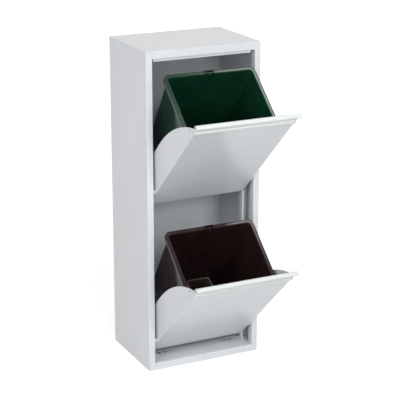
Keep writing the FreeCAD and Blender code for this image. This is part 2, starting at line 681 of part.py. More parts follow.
def make_handle_screws(door, pivot):
    """For each handle bracket, a screw through the cheek and one into the handle's lip."""
    screws = []
    for side_name, side in SIDES:
        head = mirrored(side, "cheek_outside", "cheek_outside + screw_head")
        shank = mirrored(side, "cheek_inside - screw_reach", "cheek_outside")
        cheek_steps = [
            ((head, "cheek_screw_y", "cheek_screw_z"), "screw_head_radius"),
            ((shank, "cheek_screw_y", "cheek_screw_z"), "screw_radius"),
        ]
        screws.append(fastener(f"{door}_{side_name}_cheek_screw", "x", cheek_steps))
        across = f"{side} * lip_screw_x"
        head = ("tie_back", "tie_back + screw_head")
        shank = ("lip_face + lip_skin", "tie_back")
        lip_steps = [
            ((across, head, "lip_screw_z"), "screw_head_radius"),
            ((across, shank, "lip_screw_z"), "screw_radius"),
        ]
        screws.append(fastener(f"{door}_{side_name}_lip_screw", "y", lip_steps))
    hinge_on(group(f"{door}_handle_screws", screws), pivot)


# Doors --------------------------------------------------------------------------------------------


def draw_cheek(sketch):
    """The door's side view: foot, straight rear edge, curved shoulder and front face."""
    front = value("panel_face")
    foot = value("panel_foot")
    back = value("cheek_back")
    bend = value("cheek_sweep")
    start = foot + value("cheek_straight")
    sweep = math.acos(1 - value("cheek_depth") / bend)
    tip = start + bend * math.sin(sweep)
    sketch.addGeometry(Part.LineSegment(Vector(front, foot, 0), Vector(back, foot, 0)))
    sketch.addGeometry(Part.LineSegment(Vector(back, foot, 0), Vector(back, start, 0)))
    circle = Part.Circle(Vector(back - bend, start, 0), Vector(0, 0, 1), bend)
    sketch.addGeometry(Part.ArcOfCircle(circle, 0, sweep))
    sketch.addGeometry(Part.LineSegment(Vector(front, tip, 0), Vector(front, foot, 0)))
    sketch.addConstraint(Constraint("Coincident", 0, 2, 1, 1))
    sketch.addConstraint(Constraint("Tangent", 1, 2, 2, 1))
    sketch.addConstraint(Constraint("Coincident", 2, 2, 3, 1))
    sketch.addConstraint(Constraint("Coincident", 3, 2, 0, 1))
    sketch.addConstraint(Constraint("Horizontal", 0))
    sketch.addConstraint(Constraint("Vertical", 1))
    sketch.addConstraint(Constraint("Vertical", 3))
    dimension(sketch, "face", "DistanceX", (0, 1, -1, 1), "-panel_face", -front)
    dimension(sketch, "foot", "DistanceY", (0, 1, -1, 1), "pivot_rise", -foot)
    dimension(sketch, "deep", "DistanceX", (0, 1, 0, 2), "cheek_depth", back - front)
    dimension(sketch, "straight", "DistanceY", (1, 1, 1, 2), "cheek_straight", start - foot)
    dimension(sketch, "shoulder", "Radius", (2,), "cheek_sweep", bend)


def draw_foot_waste(sketch):
    """What the round bend leaves out of the corner between a door's face and its foot."""
    face = value("panel_face")
    foot = value("panel_foot")
    bend = value("door_bend")
    corner = Vector(face, foot, 0)
    sketch.addGeometry(Part.LineSegment(Vector(face, foot + bend, 0), corner))
    sketch.addGeometry(Part.LineSegment(corner, Vector(face + bend, foot, 0)))
    circle = Part.Circle(Vector(face + bend, foot + bend, 0), Vector(0, 0, 1), bend)
    sketch.addGeometry(Part.ArcOfCircle(circle, math.pi, 1.5 * math.pi))
    sketch.addConstraint(Constraint("Coincident", 0, 2, 1, 1))
    sketch.addConstraint(Constraint("Tangent", 2, 1, 0, 1))
    sketch.addConstraint(Constraint("Tangent", 2, 2, 1, 2))
    sketch.addConstraint(Constraint("Vertical", 0))
    sketch.addConstraint(Constraint("Horizontal", 1))
    dimension(sketch, "bend", "Radius", (2,), "door_bend", bend)
    dimension(sketch, "face", "DistanceX", (1, 1, -1, 1), "-panel_face", -face)
    dimension(sketch, "foot", "DistanceY", (1, 1, -1, 1), "pivot_rise", -foot)


def make_door_shell(door, pivot):
    """Front panel, two cheeks and the bottom fold, bent from one sheet, with every hole in them."""
    body = new_body(f"{door}_door_shell")
    sketch = new_sketch(body, "side_view", "YZ_Plane")
    draw_cheek(sketch)
    pad = body.newObject("PartDesign::Pad", "envelope")
    pad.Profile = sketch
    pad.Midplane = True
    bind(pad, "Length", "2 * cheek_outside")
    through = ("-cheek_outside - overcut", "cheek_outside + overcut")
    above = "panel_foot + 2 * panel_height"
    handle_room = ("panel_face - overcut", "neck_back + cheek_tip_gap")
    cut_block(body, "handle_room", through, handle_room, ("panel_top", above))
    face = value("panel_face")
    foot = value("panel_foot")
    back = value("cheek_back")
    outside = value("cheek_outside")
    folds = [{"x": outside * side, "y": face} for _, side in SIDES]
    round_edges(body, "cheek_bends", "cheek_bend", *folds)
    round_edges(body, "rear_corners", "cheek_corner", {"y": back, "z": foot})
    waste = new_sketch(body, "foot_waste", "YZ_Plane")
    draw_foot_waste(waste)
    foot_cut = body.newObject("PartDesign::Pocket", "foot_bend")
    foot_cut.Profile = waste
    foot_cut.Midplane = True
    bind(foot_cut, "Length", "2 * (cheek_outside + overcut)")
    hollow = ("-cheek_inside", "cheek_inside")
    bend_y = "panel_face + door_bend"
    bend_z = "panel_foot + door_bend"
    behind = "cheek_back + overcut"
    cut_block(body, "upper_hollow", hollow, ("panel_inside", behind), (bend_z, above))
    over_fold = ("panel_foot + door_sheet", f"{bend_z} + overcut")
    cut_block(body, "lower_hollow", hollow, (bend_y, behind), over_fold)
    cut_rod(body, "bend_hollow", "x", (hollow, bend_y, bend_z), "door_bend - door_sheet")
    behind_fold = ("panel_face + door_fold", behind)
    cut_block(body, "behind_fold", hollow, behind_fold, ("panel_foot - overcut", bend_z))
    holes = [
        ("pivot", "0", "0", "bush_spigot_radius + running_fit"),
        ("open_stud", "open_stud_y", "open_stud_z", "stud_shank_radius + running_fit"),
        ("shut_stud", "shut_stud_y", "shut_stud_z", "stud_shank_radius + running_fit"),
        ("rivet_a", "hole_a_y", "hole_a_z", "rivet_radius + running_fit"),
        ("rivet_b", "hole_b_y", "hole_b_z", "rivet_radius + running_fit"),
        ("screw", "cheek_screw_y", "cheek_screw_z", "screw_radius + running_fit"),
    ]
    for name, along, up, radius in holes:
        cut_rod(body, f"{name}_holes", "x", (through, along, up), radius)
    for name, side in SIDES:
        panel = ("panel_face - overcut", "panel_inside + overcut")
        spot = (f"{side} * lip_screw_x", panel, "lip_screw_z")
        cut_rod(body, f"{name}_lip_screw_hole", "y", spot, "screw_radius + running_fit")
    hinge_on(body, pivot)


def make_handle(door, pivot):
    """The handle profile: hollow round bead, neck, lower lip and the leg behind the panel."""
    body = new_body(f"{door}_handle")
    width = ("-cheek_outside", "cheek_outside")
    add_block(body, "neck", width, ("panel_face", "neck_back"), ("panel_top", "neck_top"))
    add_block(body, "lip", width, ("lip_face", "panel_face"), ("lip_foot", "lip_top"))
    leg = ("-leg_half", "leg_half")
    add_block(body, "leg", leg, ("panel_inside", "neck_back"), ("lip_foot", "panel_top"))
    add_rod(body, "bead", "x", (("-grip_half", "grip_half"), "grip_y", "grip_z"), "grip_radius")
    bore = (("-grip_half - overcut", "grip_half + overcut"), "grip_y", "grip_z")
    cut_rod(body, "bead_bore", "x", bore, "grip_radius - grip_wall")
    for name, side in SIDES:
        depth = ("lip_face + lip_skin", "neck_back + overcut")
        spot = (f"{side} * lip_screw_x", depth, "lip_screw_z")
        cut_rod(body, f"{name}_screw_hole", "y", spot, "screw_radius + running_fit")
    face = value("lip_face")
    front_edges = [{"y": face, "z": value(place)} for place in ("lip_foot", "lip_top")]
    round_edges(body, "lip_edges", "lip_edge", *front_edges)
    hinge_on(body, pivot)


def make_handle_brackets(door, pivot):
    """Two angles that tie the handle's leg to the cheeks."""
    brackets = []
    for side_name, side in SIDES:
        plate = doc.addObject("Part::Box", f"{door}_{side_name}_tie_plate")
        width = mirrored(side, "cheek_inside - tie_width", "cheek_inside")
        place_block(plate, (width, ("neck_back", "tie_back"), ("tie_foot", "tie_top")))
        ear = doc.addObject("Part::Box", f"{door}_{side_name}_tie_ear")
        on_cheek = mirrored(side, "cheek_inside - door_sheet", "cheek_inside")
        depth = ("neck_back", "neck_back + tie_reach")
        place_block(ear, (on_cheek, depth, ("tie_foot", "tie_foot + tie_ear")))
        angle = doc.addObject("Part::MultiFuse", f"{door}_{side_name}_tie_angle")
        angle.Shapes = [plate, ear]
        angle.Refine = True
        hole_radius = "screw_radius + running_fit"
        cheek_hole = doc.addObject("Part::Cylinder", f"{door}_{side_name}_tie_cheek_hole")
        through_cheek = mirrored(side, "cheek_inside - door_sheet - overcut", "cheek_outside")
        place_rod(cheek_hole, "x", (through_cheek, "cheek_screw_y", "cheek_screw_z"), hole_radius)
        lip_hole = doc.addObject("Part::Cylinder", f"{door}_{side_name}_tie_lip_hole")
        spot = (f"{side} * lip_screw_x", ("panel_face", "tie_back + overcut"), "lip_screw_z")
        place_rod(lip_hole, "y", spot, hole_radius)
        holes = doc.addObject("Part::MultiFuse", f"{door}_{side_name}_tie_holes")
        holes.Shapes = [cheek_hole, lip_hole]
        bracket = doc.addObject("Part::Cut", f"{door}_{side_name}_tie")
        bracket.Base = angle
        bracket.Tool = holes
        brackets.append(bracket)
    hinge_on(group(f"{door}_handle_brackets", brackets), pivot)


def make_bucket_shelf(door, level):
    """The plate under a bucket, with a flange on each cheek and a lip behind the bucket's foot."""
    body = new_body(f"{door}_bucket_shelf")
    width = ("-cheek_inside", "cheek_inside")
    depth = ("shelf_front", "shelf_back")
    add_block(body, "plate", width, depth, ("shelf_under", "shelf_top"))
    upright = ("shelf_under", "shelf_under + shelf_flange")
    for name, side in SIDES:
        add_block(body, f"{name}_flange", mirrored(side, "shelf_side", "cheek_inside"), depth, upright)
    lip = ("shelf_back - door_sheet", "shelf_back")
    add_block(body, "rear_lip", width, lip, ("shelf_under", "shelf_under + shelf_lip"))
    through = ("-cheek_inside - overcut", "cheek_inside + overcut")
    for spot in ("rivet_a_y", "rivet_b_y"):
        hole = (through, spot, "shelf_rivet_height")
        cut_rod(body, f"{spot}_holes", "x", hole, "rivet_radius + running_fit")
    stud = (through, "shelf_stud_y", "shelf_stud_z")
    cut_rod(body, "stud_holes", "x", stud, "stud_shank_radius + running_fit")
    seat_on_shelf(body, level)


def make_bush(door, side_name, side, pivot):
    """A plastic bush clipped in a cheek, which turns on the pivot pin."""
    body = new_body(f"{door}_{side_name}_bush")
    flange = mirrored(side, "cheek_outside", "bush_side")
    add_rod(body, "flange", "x", (flange, "0", "0"), "bush_radius")
    spigot = mirrored(side, "cheek_inside", "cheek_outside")
    add_rod(body, "spigot", "x", (spigot, "0", "0"), "bush_spigot_radius")
    catch = mirrored(side, "cheek_inside - bush_catch", "cheek_inside")
    add_rod(body, "catch", "x", (catch, "0", "0"), "bush_catch_radius")
    bore = mirrored(side, "cheek_inside - bush_catch - overcut", "bush_side + overcut")
    cut_rod(body, "bore", "x", (bore, "0", "0"), "pin_radius + running_fit")
    hinge_on(body, pivot)


# Buckets ------------------------------------------------------------------------------------------


def make_bucket(door, level):
    """A tapered bucket with a flanged rim, a skirt, a foot recess and a lug on its rear rim."""
    body = new_body(f"{door}_bucket")
    foot = new_sketch(body, "foot", "XY_Plane")
    rounded_rectangle(foot, "foot_width", "foot_depth", "foot_corner")
    mouth = new_sketch(body, "mouth", "XY_Plane", "bucket_height")
    rounded_rectangle(mouth, "mouth_width", "mouth_depth", "rim_corner - rim_flange")
    loft_between(body, "outside", "AdditiveLoft", foot, mouth)
    rim = new_sketch(body, "rim", "XY_Plane", "bucket_height - rim_skirt")
    rounded_rectangle(rim, "rim_width", "rim_depth", "rim_corner")
    rim_pad = body.newObject("PartDesign::Pad", "rim_block")
    rim_pad.Profile = rim
    bind(rim_pad, "Length", "rim_skirt")
    under = new_sketch(body, "under_rim", "XY_Plane", "bucket_height - bucket_wall")
    under_sizes = ("rim_width - 2 * bucket_wall", "rim_depth - 2 * bucket_wall")
    rounded_rectangle(under, *under_sizes, "rim_corner - bucket_wall")
    under_pocket = body.newObject("PartDesign::Pocket", "under_rim_pocket")
    under_pocket.Profile = under
    bind(under_pocket, "Length", "rim_skirt - bucket_wall")
    collar = new_sketch(body, "collar", "XY_Plane", "bucket_height - rim_skirt")
    rounded_rectangle(collar, "mouth_width", "mouth_depth", "rim_corner - rim_flange")
    collar_pad = body.newObject("PartDesign::Pad", "collar_block")
    collar_pad.Profile = collar
    bind(collar_pad, "Length", "rim_skirt")
    inner_foot = new_sketch(body, "inner_foot", "XY_Plane", "foot_recess + bucket_wall")
    inner_grow = "2 * (foot_recess + bucket_wall) * tan(bucket_draft) - 2 * bucket_wall"
    inner_sizes = (f"foot_width + {inner_grow}", f"foot_depth + {inner_grow}")
    rounded_rectangle(inner_foot, *inner_sizes, "foot_corner - bucket_wall")
    inner_mouth = new_sketch(body, "inner_mouth", "XY_Plane", "bucket_height")
    mouth_sizes = ("mouth_width - 2 * bucket_wall", "mouth_depth - 2 * bucket_wall")
    rounded_rectangle(inner_mouth, *mouth_sizes, "rim_corner - rim_flange - bucket_wall")
    loft_between(body, "inside", "SubtractiveLoft", inner_foot, inner_mouth)
    across = ("foot_border - foot_width / 2", "foot_width / 2 - foot_border")
    along = ("foot_border - foot_half", "foot_half - foot_border")
    cut_block(body, "foot_recess_cut", across, along, ("-overcut", "foot_recess"))
    inside = "mouth_depth / 2 - bucket_wall"
    lug_top = "bucket_height + lug_height"
    lug = (("-lug_width / 2", "lug_width / 2"), (inside, "rim_depth / 2 - lug_step"))
    add_block(body, "lug", *lug, ("bucket_height - bucket_wall", lug_top))
    tongue = (("-tongue_width / 2", "tongue_width / 2"), (f"{inside} - tongue_depth", "mouth_depth / 2"))
    add_block(body, "tongue", *tongue, ("bucket_height - tongue_drop", f"{lug_top} - lug_step"))
    seat_on_shelf(body, level)


def make_caddy(level):
    """A small open box in the bucket's front left corner, hooked over the bucket's rim."""
    body = new_body("lower_caddy")
    middle = ("caddy_x", "caddy_y")
    foot = new_sketch(body, "foot", "XY_Plane", "caddy_foot")
    foot_sizes = ("caddy_body_width - caddy_taper", "caddy_body_depth - caddy_taper")
    rounded_rectangle(foot, *foot_sizes, "caddy_foot_corner", middle)
    mouth = new_sketch(body, "mouth", "XY_Plane", "bucket_height")
    rounded_rectangle(mouth, "caddy_body_width", "caddy_body_depth", "caddy_corner - caddy_rim", middle)
    loft_between(body, "outside", "AdditiveLoft", foot, mouth)
    rim = new_sketch(body, "rim", "XY_Plane", "bucket_height - caddy_rim_height")
    rounded_rectangle(rim, "caddy_width", "caddy_depth", "caddy_corner", middle)
    rim_pad = body.newObject("PartDesign::Pad", "rim_block")
    rim_pad.Profile = rim
    bind(rim_pad, "Length", "caddy_rim_height")
    inner_foot = new_sketch(body, "inner_foot", "XY_Plane", "caddy_foot + caddy_wall")
    inner_grow = "2 * caddy_wall * tan(caddy_draft) - 2 * caddy_wall"
    inner_sizes = [f"{size} + {inner_grow}" for size in foot_sizes]
    rounded_rectangle(inner_foot, *inner_sizes, "caddy_foot_corner - caddy_wall", middle)
    inner_mouth = new_sketch(body, "inner_mouth", "XY_Plane", "bucket_height")
    mouth_sizes = ("caddy_body_width - 2 * caddy_wall", "caddy_body_depth - 2 * caddy_wall")
    rounded_rectangle(inner_mouth, *mouth_sizes, "caddy_corner - caddy_rim - caddy_wall", middle)
    loft_between(body, "inside", "SubtractiveLoft", inner_foot, inner_mouth)
    across = ("caddy_y - hook_width / 2", "caddy_y + hook_width / 2")
    over_rim = ("hook_top - hook_sheet", "hook_top")
    riser = ("caddy_left", "caddy_left + caddy_rim + caddy_wall")
    add_block(body, "hook_riser", riser, across, ("bucket_height - caddy_wall", "hook_top"))
    add_block(body, "hook_bridge", ("hook_out", "caddy_left + caddy_rim"), across, over_rim)
    tip = ("hook_out", "hook_out + hook_sheet")
    add_block(body, "hook_tip", tip, across, ("bucket_height - hook_drop", "hook_top"))
    seat_on_shelf(body, level)


# The whole bin ------------------------------------------------------------------------------------

fill_sheet("Sizes", SIZES, False)
fill_sheet("Places", PLACES, True)
doc.recompute()

for side_name, side in SIDES:
    make_side_panel(f"{side_name}_side_panel", side)
    make_stop_bracket(f"upper_{side_name}_stop_bracket", side, "upper_bracket_foot", "upper_bracket_top")
    make_stop_bracket(f"lower_{side_name}_stop_bracket", side, "base_rise", "lower_bracket_top")
make_top_panel()
make_base_panel()
make_back_panel()
make_back_rivets()
make_stop_strip()

for door in ("lower", "upper"):
    pivot = f"{door}_pivot"
    level = f"{door}_bucket_z"
    make_door_shell(door, pivot)
    make_handle(door, pivot)
    make_handle_brackets(door, pivot)
    make_handle_screws(door, pivot)
    make_stop_studs(door, pivot)
    make_bucket_shelf(door, level)
    make_shelf_rivets(door, level)
    make_bucket(door, level)
    for side_name, side in SIDES:
        make_pivot_pin(f"{door}_{side_name}_pivot_pin", side, pivot)
        make_bush(door, side_name, side, pivot)
make_caddy("lower_bucket_z")

doc.recompute()

for item in doc.Objects:
    for word in ("Invalid", "Error"):
        if word in item.State:
            raise RuntimeError(f"{item.Name} is {word}")

os.makedirs("parts", exist_ok=True)
nodes = [item for item in doc.Objects if is_node(item)]
for node in nodes:
    if node.Shape.isNull() or not node.Shape.isValid():
        raise RuntimeError(f"{node.Label} has no valid shape")
for node in nodes:
    node.Shape.exportStep(f"parts/{node.Label}.step")
    box = node.Shape.BoundBox
    sizes = f"{box.XLength:.1f} x {box.YLength:.1f} x {box.ZLength:.1f}"
    print(f"{node.Label}: {len(node.Shape.Solids)} solids, {node.Shape.Volume / 1000:.2f} cm3, {sizes}")
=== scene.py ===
"""Looks of the double recycling bin: coated steel, lacquered handles, moulded buckets, fasteners and stage.

Lengths are in metres in the row frame: X to the right, Y to the back, Z up.
"""

import json
import math

import bmesh
import bpy
from bpy.props import FloatProperty, FloatVectorProperty, PointerProperty
from mathutils import Euler, Matrix, Vector

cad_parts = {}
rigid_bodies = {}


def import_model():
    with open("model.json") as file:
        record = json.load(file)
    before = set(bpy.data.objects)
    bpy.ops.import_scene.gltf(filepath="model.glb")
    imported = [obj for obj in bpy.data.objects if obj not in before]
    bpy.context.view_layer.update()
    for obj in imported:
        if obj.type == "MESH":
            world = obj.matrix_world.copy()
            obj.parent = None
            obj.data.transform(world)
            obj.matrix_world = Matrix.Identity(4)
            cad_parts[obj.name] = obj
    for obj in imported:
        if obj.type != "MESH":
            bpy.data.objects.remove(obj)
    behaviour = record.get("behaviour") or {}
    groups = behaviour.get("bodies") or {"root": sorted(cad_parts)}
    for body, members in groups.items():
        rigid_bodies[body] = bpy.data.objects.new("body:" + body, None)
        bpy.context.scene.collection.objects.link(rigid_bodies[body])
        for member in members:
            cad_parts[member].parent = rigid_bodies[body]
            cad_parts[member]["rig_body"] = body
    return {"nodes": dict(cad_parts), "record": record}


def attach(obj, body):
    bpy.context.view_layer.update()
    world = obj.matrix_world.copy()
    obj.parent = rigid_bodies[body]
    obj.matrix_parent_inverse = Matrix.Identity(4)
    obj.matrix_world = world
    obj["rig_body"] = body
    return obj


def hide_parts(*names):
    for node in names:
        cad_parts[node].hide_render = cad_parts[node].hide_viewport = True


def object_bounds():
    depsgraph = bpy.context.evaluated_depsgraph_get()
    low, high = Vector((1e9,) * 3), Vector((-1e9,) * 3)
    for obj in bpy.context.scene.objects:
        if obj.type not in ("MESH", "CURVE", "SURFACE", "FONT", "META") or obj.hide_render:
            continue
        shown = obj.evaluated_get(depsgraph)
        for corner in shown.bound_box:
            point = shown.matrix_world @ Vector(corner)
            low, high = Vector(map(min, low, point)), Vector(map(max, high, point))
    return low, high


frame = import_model()
CAD_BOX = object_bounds()

bl_info = {
    "name": "Double recycling bin",
    "version": (1, 0, 0),
    "blender": (4, 5, 0),
    "location": "3D View > Sidebar > Recycling bin",
    "description": "Finishes, buckets, handles, fasteners and stage of a recycling bin with two tilting doors",
    "category": "Object",
}

DOORS = ("upper", "lower")
MERGE = 1e-6
CORNER_STEPS = 8
ROUND_STEPS = 4
SMOOTH_ANGLE = math.radians(32)
ROUND_FROM = math.radians(40)
FLAT_ANGLE = math.radians(0.5)
EDGE_STEPS = 2
BLOCK_STEPS = 3
DISC_SIDES = 24
SOCKET_SIDES = 6
SENSOR_WIDTH = 36
# How much light of its own the floor shows the camera and reflections, by metres from the bin's middle.
NEAR, NEAR_GLOW = 0.5, 0.6
FAR, FAR_GLOW = 3.0, 0.9
# Depth of a reflected ray's direction where the studio's front ends and where its backdrop starts.
FRONT_ENDS, BACKDROP_STARTS = -0.3, 0.6
# Where each lamp stands and how wide it is, in metres.
FRONT_LAMP, FRONT_WIDTH = (-0.2, -3.2, 1.9), 2.0
RIM_LAMP, RIM_WIDTH = (1.05, -0.35, 2.5), 0.5
KEY_LAMP, KEY_WIDTH = (-2.6, -1.1, 1.5), 1.6
TOP_LAMP, TOP_WIDTH = (0, 1.3, 2.5), 1.6
# Sockets of a colour mix, which shares its names with the other kinds of mix.
MIX_A, MIX_B, MIX_OUT = 6, 7, 2


# Sizes and colours --------------------------------------------------------------------------------


def length(name, description, millimetres):
    """A length property with its default in millimetres."""
    return FloatProperty(
        name=name,
        description=description,
        default=millimetres / 1000,
        min=0,
        precision=5,
        unit="LENGTH",
    )


def angle(name, description, degrees):
    """An angle property with its default in degrees."""
    default = math.radians(degrees)
    return FloatProperty(
        name=name, description=description, default=default, precision=3, subtype="ANGLE"
    )


def strength(name, description, default):
    """A brightness of the studio's walls, where 1 is white."""
    return FloatProperty(name=name, description=description, default=default, min=0, precision=3)


def power(name, description, default):
    """A lamp's power in watts."""
    return FloatProperty(name=name, description=description, default=default, min=0, unit="POWER")


def linear(hex_colour):
    """Turn an sRGB hex colour to linear red, green and blue."""
    channels = [int(hex_colour[place : place + 2], 16) / 255 for place in (1, 3, 5)]
    return tuple(c / 12.92 if c <= 0.04045 else ((c + 0.055) / 1.055) ** 2.4 for c in channels)


def colour(name, description, hex_colour):
    """A colour property with its default as sRGB hex."""
    return FloatVectorProperty(
        name=name,
        description=description,
        default=linear(hex_colour),
        min=0,
        max=1,
        subtype="COLOR",
    )


class BinColours(bpy.types.PropertyGroup):
    """Colours of the finishes."""

    coat: colour("Powder coat", "Body colour of the sprayed steel", "#DDDFE3")
    coat_thin: colour("Powder coat, thin", "Where the coat lies thinner", "#DADCE0")
    # Painted highlight: a lighter colour laid along the sheet's edges, where the rounded bends catch the
    # light.
    coat_edge_highlight: colour("Powder coat, edges", "Where hands have polished the coat along the edges", "#E9EBED")
    lacquer: colour("Handle lacquer", "White lacquer of the handles", "#E3E6E5")
    lacquer_line: colour("Handle lacquer, die lines", "Lines that the die leaves along the handles", "#DEE1E1")
    green: colour("Upper bucket", "Dyed polypropylene", "#113B28")
    green_flow: colour("Upper bucket, flow marks", "Darker flow marks of the moulding", "#0D3122")
    brown: colour("Lower bucket", "Dyed polypropylene", "#2E1F1F")
    brown_flow: colour("Lower bucket, flow marks", "Darker flow marks of the moulding", "#261718")
    caddy: colour("Caddy", "Dyed polypropylene", "#3A2B2A")
    caddy_flow: colour("Caddy, flow marks", "Darker flow marks of the moulding", "#322423")
    nylon: colour("Bushes", "Natural nylon", "#DFE0DC")
    nylon_flow: colour("Bushes, flow marks", "Darker flow marks of the moulding", "#D6D7D3")
    steel: colour("Pins", "Turned steel", "#B4B4B2")
    steel_dull: colour("Pins, dull", "Where the turned steel has dulled", "#8E8E8C")
    zinc: colour("Zinc plate", "Plated brackets and studs", "#B9BDC2")
    zinc_dull: colour("Zinc plate, dull", "Clouds in the plating", "#989CA2")
    screw: colour("Screws", "Stainless steel", "#B9BABB")
    screw_dull: colour("Screws, dull", "Where the stainless steel has dulled", "#98999B")
    rivet: colour("Rivets", "Bare aluminium", "#D0D1D3")
    rivet_dull: colour("Rivets, dull", "Where the aluminium has dulled", "#AEB0B3")
    floor: colour("Floor", "Matt paper of the stage", "#D6D6D6")
    front_light: colour("Front lamp", "Light before the doors, a little cool", "#FBFFFD")
    other_light: colour("Other lamps", "Light on the left and above", "#FFFFFF")


class BucketSizes(bpy.types.PropertyGroup):
    """Sizes of a bucket, in the frame of its own axis."""

    tilt: angle("Tilt", "Lean of the bucket's axis in the open door", 41.2)
    height: length("Height", "Foot to the top of the rim", 318)
    draft: angle("Draft", "Draft of the walls", 3.3)
    wall: length("Wall", "Thickness of the wall", 2)
    flange: length("Rim flange", "Width of the rim beyond the wall", 10)
    skirt: length("Rim skirt", "Height of the skirt under the rim", 8.5)
    rim_corner: length("Rim corner", "Outer corner radius of the rim", 20)
    foot_corner: length("Foot corner", "Corner radius at the foot", 11)
    least_corner: length("Smallest corner", "Corner radius where a wall has turned in", 3)
    rim_round: length("Rim rounding", "Rounding of the rim's outer edge", 2.5)
    mouth_round: length("Mouth rounding", "Rounding of the rim's inner edge", 2)
    bead: length("Rim bead", "Width of the raised outer edge of the rim", 3.5)
    groove: length("Rim groove", "Depth of the groove between the rim's raised edges", 0.9)
    foot_round: length("Foot rounding", "Rounding round the foot", 2.5)
    floor_round: length("Floor rounding", "Rounding between inner wall and floor", 8)
    edge: length("Edge rounding", "Rounding of the small edges", 0.6)
    recess: length("Foot recess", "Depth of the recess under the foot", 2)
    border: length("Foot border", "Width of the border round the recess", 12)
    lug_width: length("Lug width", "Width of the lug on the rear rim", 29)
    lug_height: length("Lug height", "Height of the lug above the rim", 3.5)
    lug_inset: length("Lug inset", "Outer edge of the rim to the lug", 1)
    lug_wall: length("Lug wall", "Wall round the pocket in the lug", 2.5)
    pocket: length("Lug pocket", "Depth of the pocket in the lug below the rim", 6)
    tongue_width: length("Tongue width", "Width of the tongue inside the lug", 5)
    tongue_drop: length("Tongue drop", "Reach of the tongue below the rim", 6)
    tongue_depth: length("Tongue depth", "Reach of the tongue in from the wall", 4)
    tongue_round: length("Tongue rounding", "Rounding of the tongue", 1.8)


class CaddySizes(bpy.types.PropertyGroup):
    """Sizes of the caddy that hangs in the lower bucket."""

    width: length("Width", "Outside width of the rim", 70)
    height: length("Height", "Foot to rim", 105)
    draft: angle("Draft", "Draft of the walls", 4)
    wall: length("Wall", "Thickness of the wall", 1.5)
    rim: length("Rim", "Width of the rim beyond the wall", 2)
    rim_height: length("Rim height", "Height of the rim", 4)
    corner: length("Corner", "Outer corner radius of the rim", 10)
    foot_round: length("Foot rounding", "Rounding round the foot and the floor", 2.5)
    edge: length("Edge rounding", "Rounding of the small edges", 0.5)
    hook_width: length("Hook width", "Width of the hook over the bucket's rim", 24)
    hook_sheet: length("Hook thickness", "Thickness of the hook", 1.5)
    hook_drop: length("Hook drop", "Reach of the hook down the skirt", 5)


class FastenerSizes(bpy.types.PropertyGroup):
    """Sizes of the rivets, screws and studs."""

    rivet_head: length("Rivet head radius", "Radius of a rivet's head", 3.2)
    rivet_rise: length("Back rivet head", "Height of a back rivet's head", 0.9)
    shelf_rivet_rise: length("Shelf rivet head", "Height of a shelf rivet's head", 0.45)
    rivet_shank: length("Rivet shank radius", "Radius of a rivet's shank", 1.6)
    rivet_tail: length("Rivet tail radius", "Radius of a rivet's tail", 2.4)
    rivet_tail_length: length("Rivet tail length", "Length of a rivet's tail", 2)
    screw_head: length("Screw head radius", "Radius of a screw's head", 2.8)
    screw_rise: length("Screw head height", "Height of a screw's head", 1.6)
    screw_shank: length("Screw shank radius", "Radius of a screw's shank", 1.45)
    screw_socket: length("Screw socket radius", "Radius of the six-sided socket", 1.35)
    stud_peg: length("Stud radius", "Radius of a stop stud's peg", 2.5)
    stud_peg_length: length("Stud length", "Length of a stop stud's peg", 5.2)
    stud_shank: length("Stud shank radius", "Radius of a stop stud's shank", 1.5)
    stud_tail: length("Stud tail radius", "Radius of a stop stud's riveted end", 3)
    stud_tail_length: length("Stud tail length", "Thickness of a stop stud's riveted end", 1.2)


class StageSizes(bpy.types.PropertyGroup):
    """Doors, camera, lamps and floor."""

    door_angle: angle("Door angle", "Angle of the open doors", 47)
    handle_edge: length("Handle edge", "Rounding of the handles' edges", 0.35)
    camera_place: FloatVectorProperty(
        name="Camera place",
        description="Where the camera stands",
        default=(-1.6178, -3.2791, 1.6376),
        unit="LENGTH",
    )
    camera_turn: angle("Camera turn", "Turn of the camera from the depth axis", 26.136)
    camera_pitch: angle("Camera pitch", "How far the camera looks down", 17.436)
    focal_length: FloatProperty(
        name="Focal length", description="On a 36 mm sensor", default=122.07, unit="CAMERA"
    )
    floor_half: length("Floor half width", "Half the width of the floor", 9000)
    sky_front: strength("Sky, front", "Soft light from the camera's side of the studio", 0.2)
    sky_back: strength("Sky, back", "Soft light from the white backdrop", 0.35)
    gloss_front: strength("Gloss, front", "Brightness of the camera's side in reflections", 0.25)
    gloss_back: strength("Gloss, back", "Brightness of the backdrop in reflections", 1.0)
    front_power: power("Front lamp", "A large lamp before the doors, which lights the inside", 82)
    key_power: power("Key lamp", "A lamp on the left", 29)
    rim_power: power("Rim lamp", "A small lamp above on the right, which lines the rims of the buckets", 5.5)
    top_power: power("Top lamp", "A lamp above and behind", 8)


class BinSettings(bpy.types.PropertyGroup):
    """All settings of the bin."""

    colours: PointerProperty(type=BinColours)
    bucket: PointerProperty(type=BucketSizes)
    caddy: PointerProperty(type=CaddySizes)
    fasteners: PointerProperty(type=FastenerSizes)
    stage: PointerProperty(type=StageSizes)


# Materials ----------------------------------------------------------------------------------------


def add_node(tree, kind, inputs=None, **settings):
    """Add a node with its own settings, and fill its inputs with sockets to link or with values."""
    node = tree.nodes.new(kind)
    for name, content in settings.items():
        setattr(node, name, content)
    for name, content in (inputs or {}).items():
        if isinstance(content, bpy.types.NodeSocket):
            tree.links.new(content, node.inputs[name])
        else:
            node.inputs[name].default_value = content
    return node


def new_material(name):
    """An empty node material, its tree and its object coordinates."""
    material = bpy.data.materials.new(name)
    material.use_nodes = True
    tree = material.node_tree
    tree.nodes.clear()
    place = add_node(tree, "ShaderNodeTexCoord").outputs["Object"]
    return material, tree, place


def rgba(shade):
    """A colour property with full alpha."""
    return (*shade, 1)


def waves(millimetres):
    """The scale of a noise whose features are that wide."""
    return 1000 / millimetres


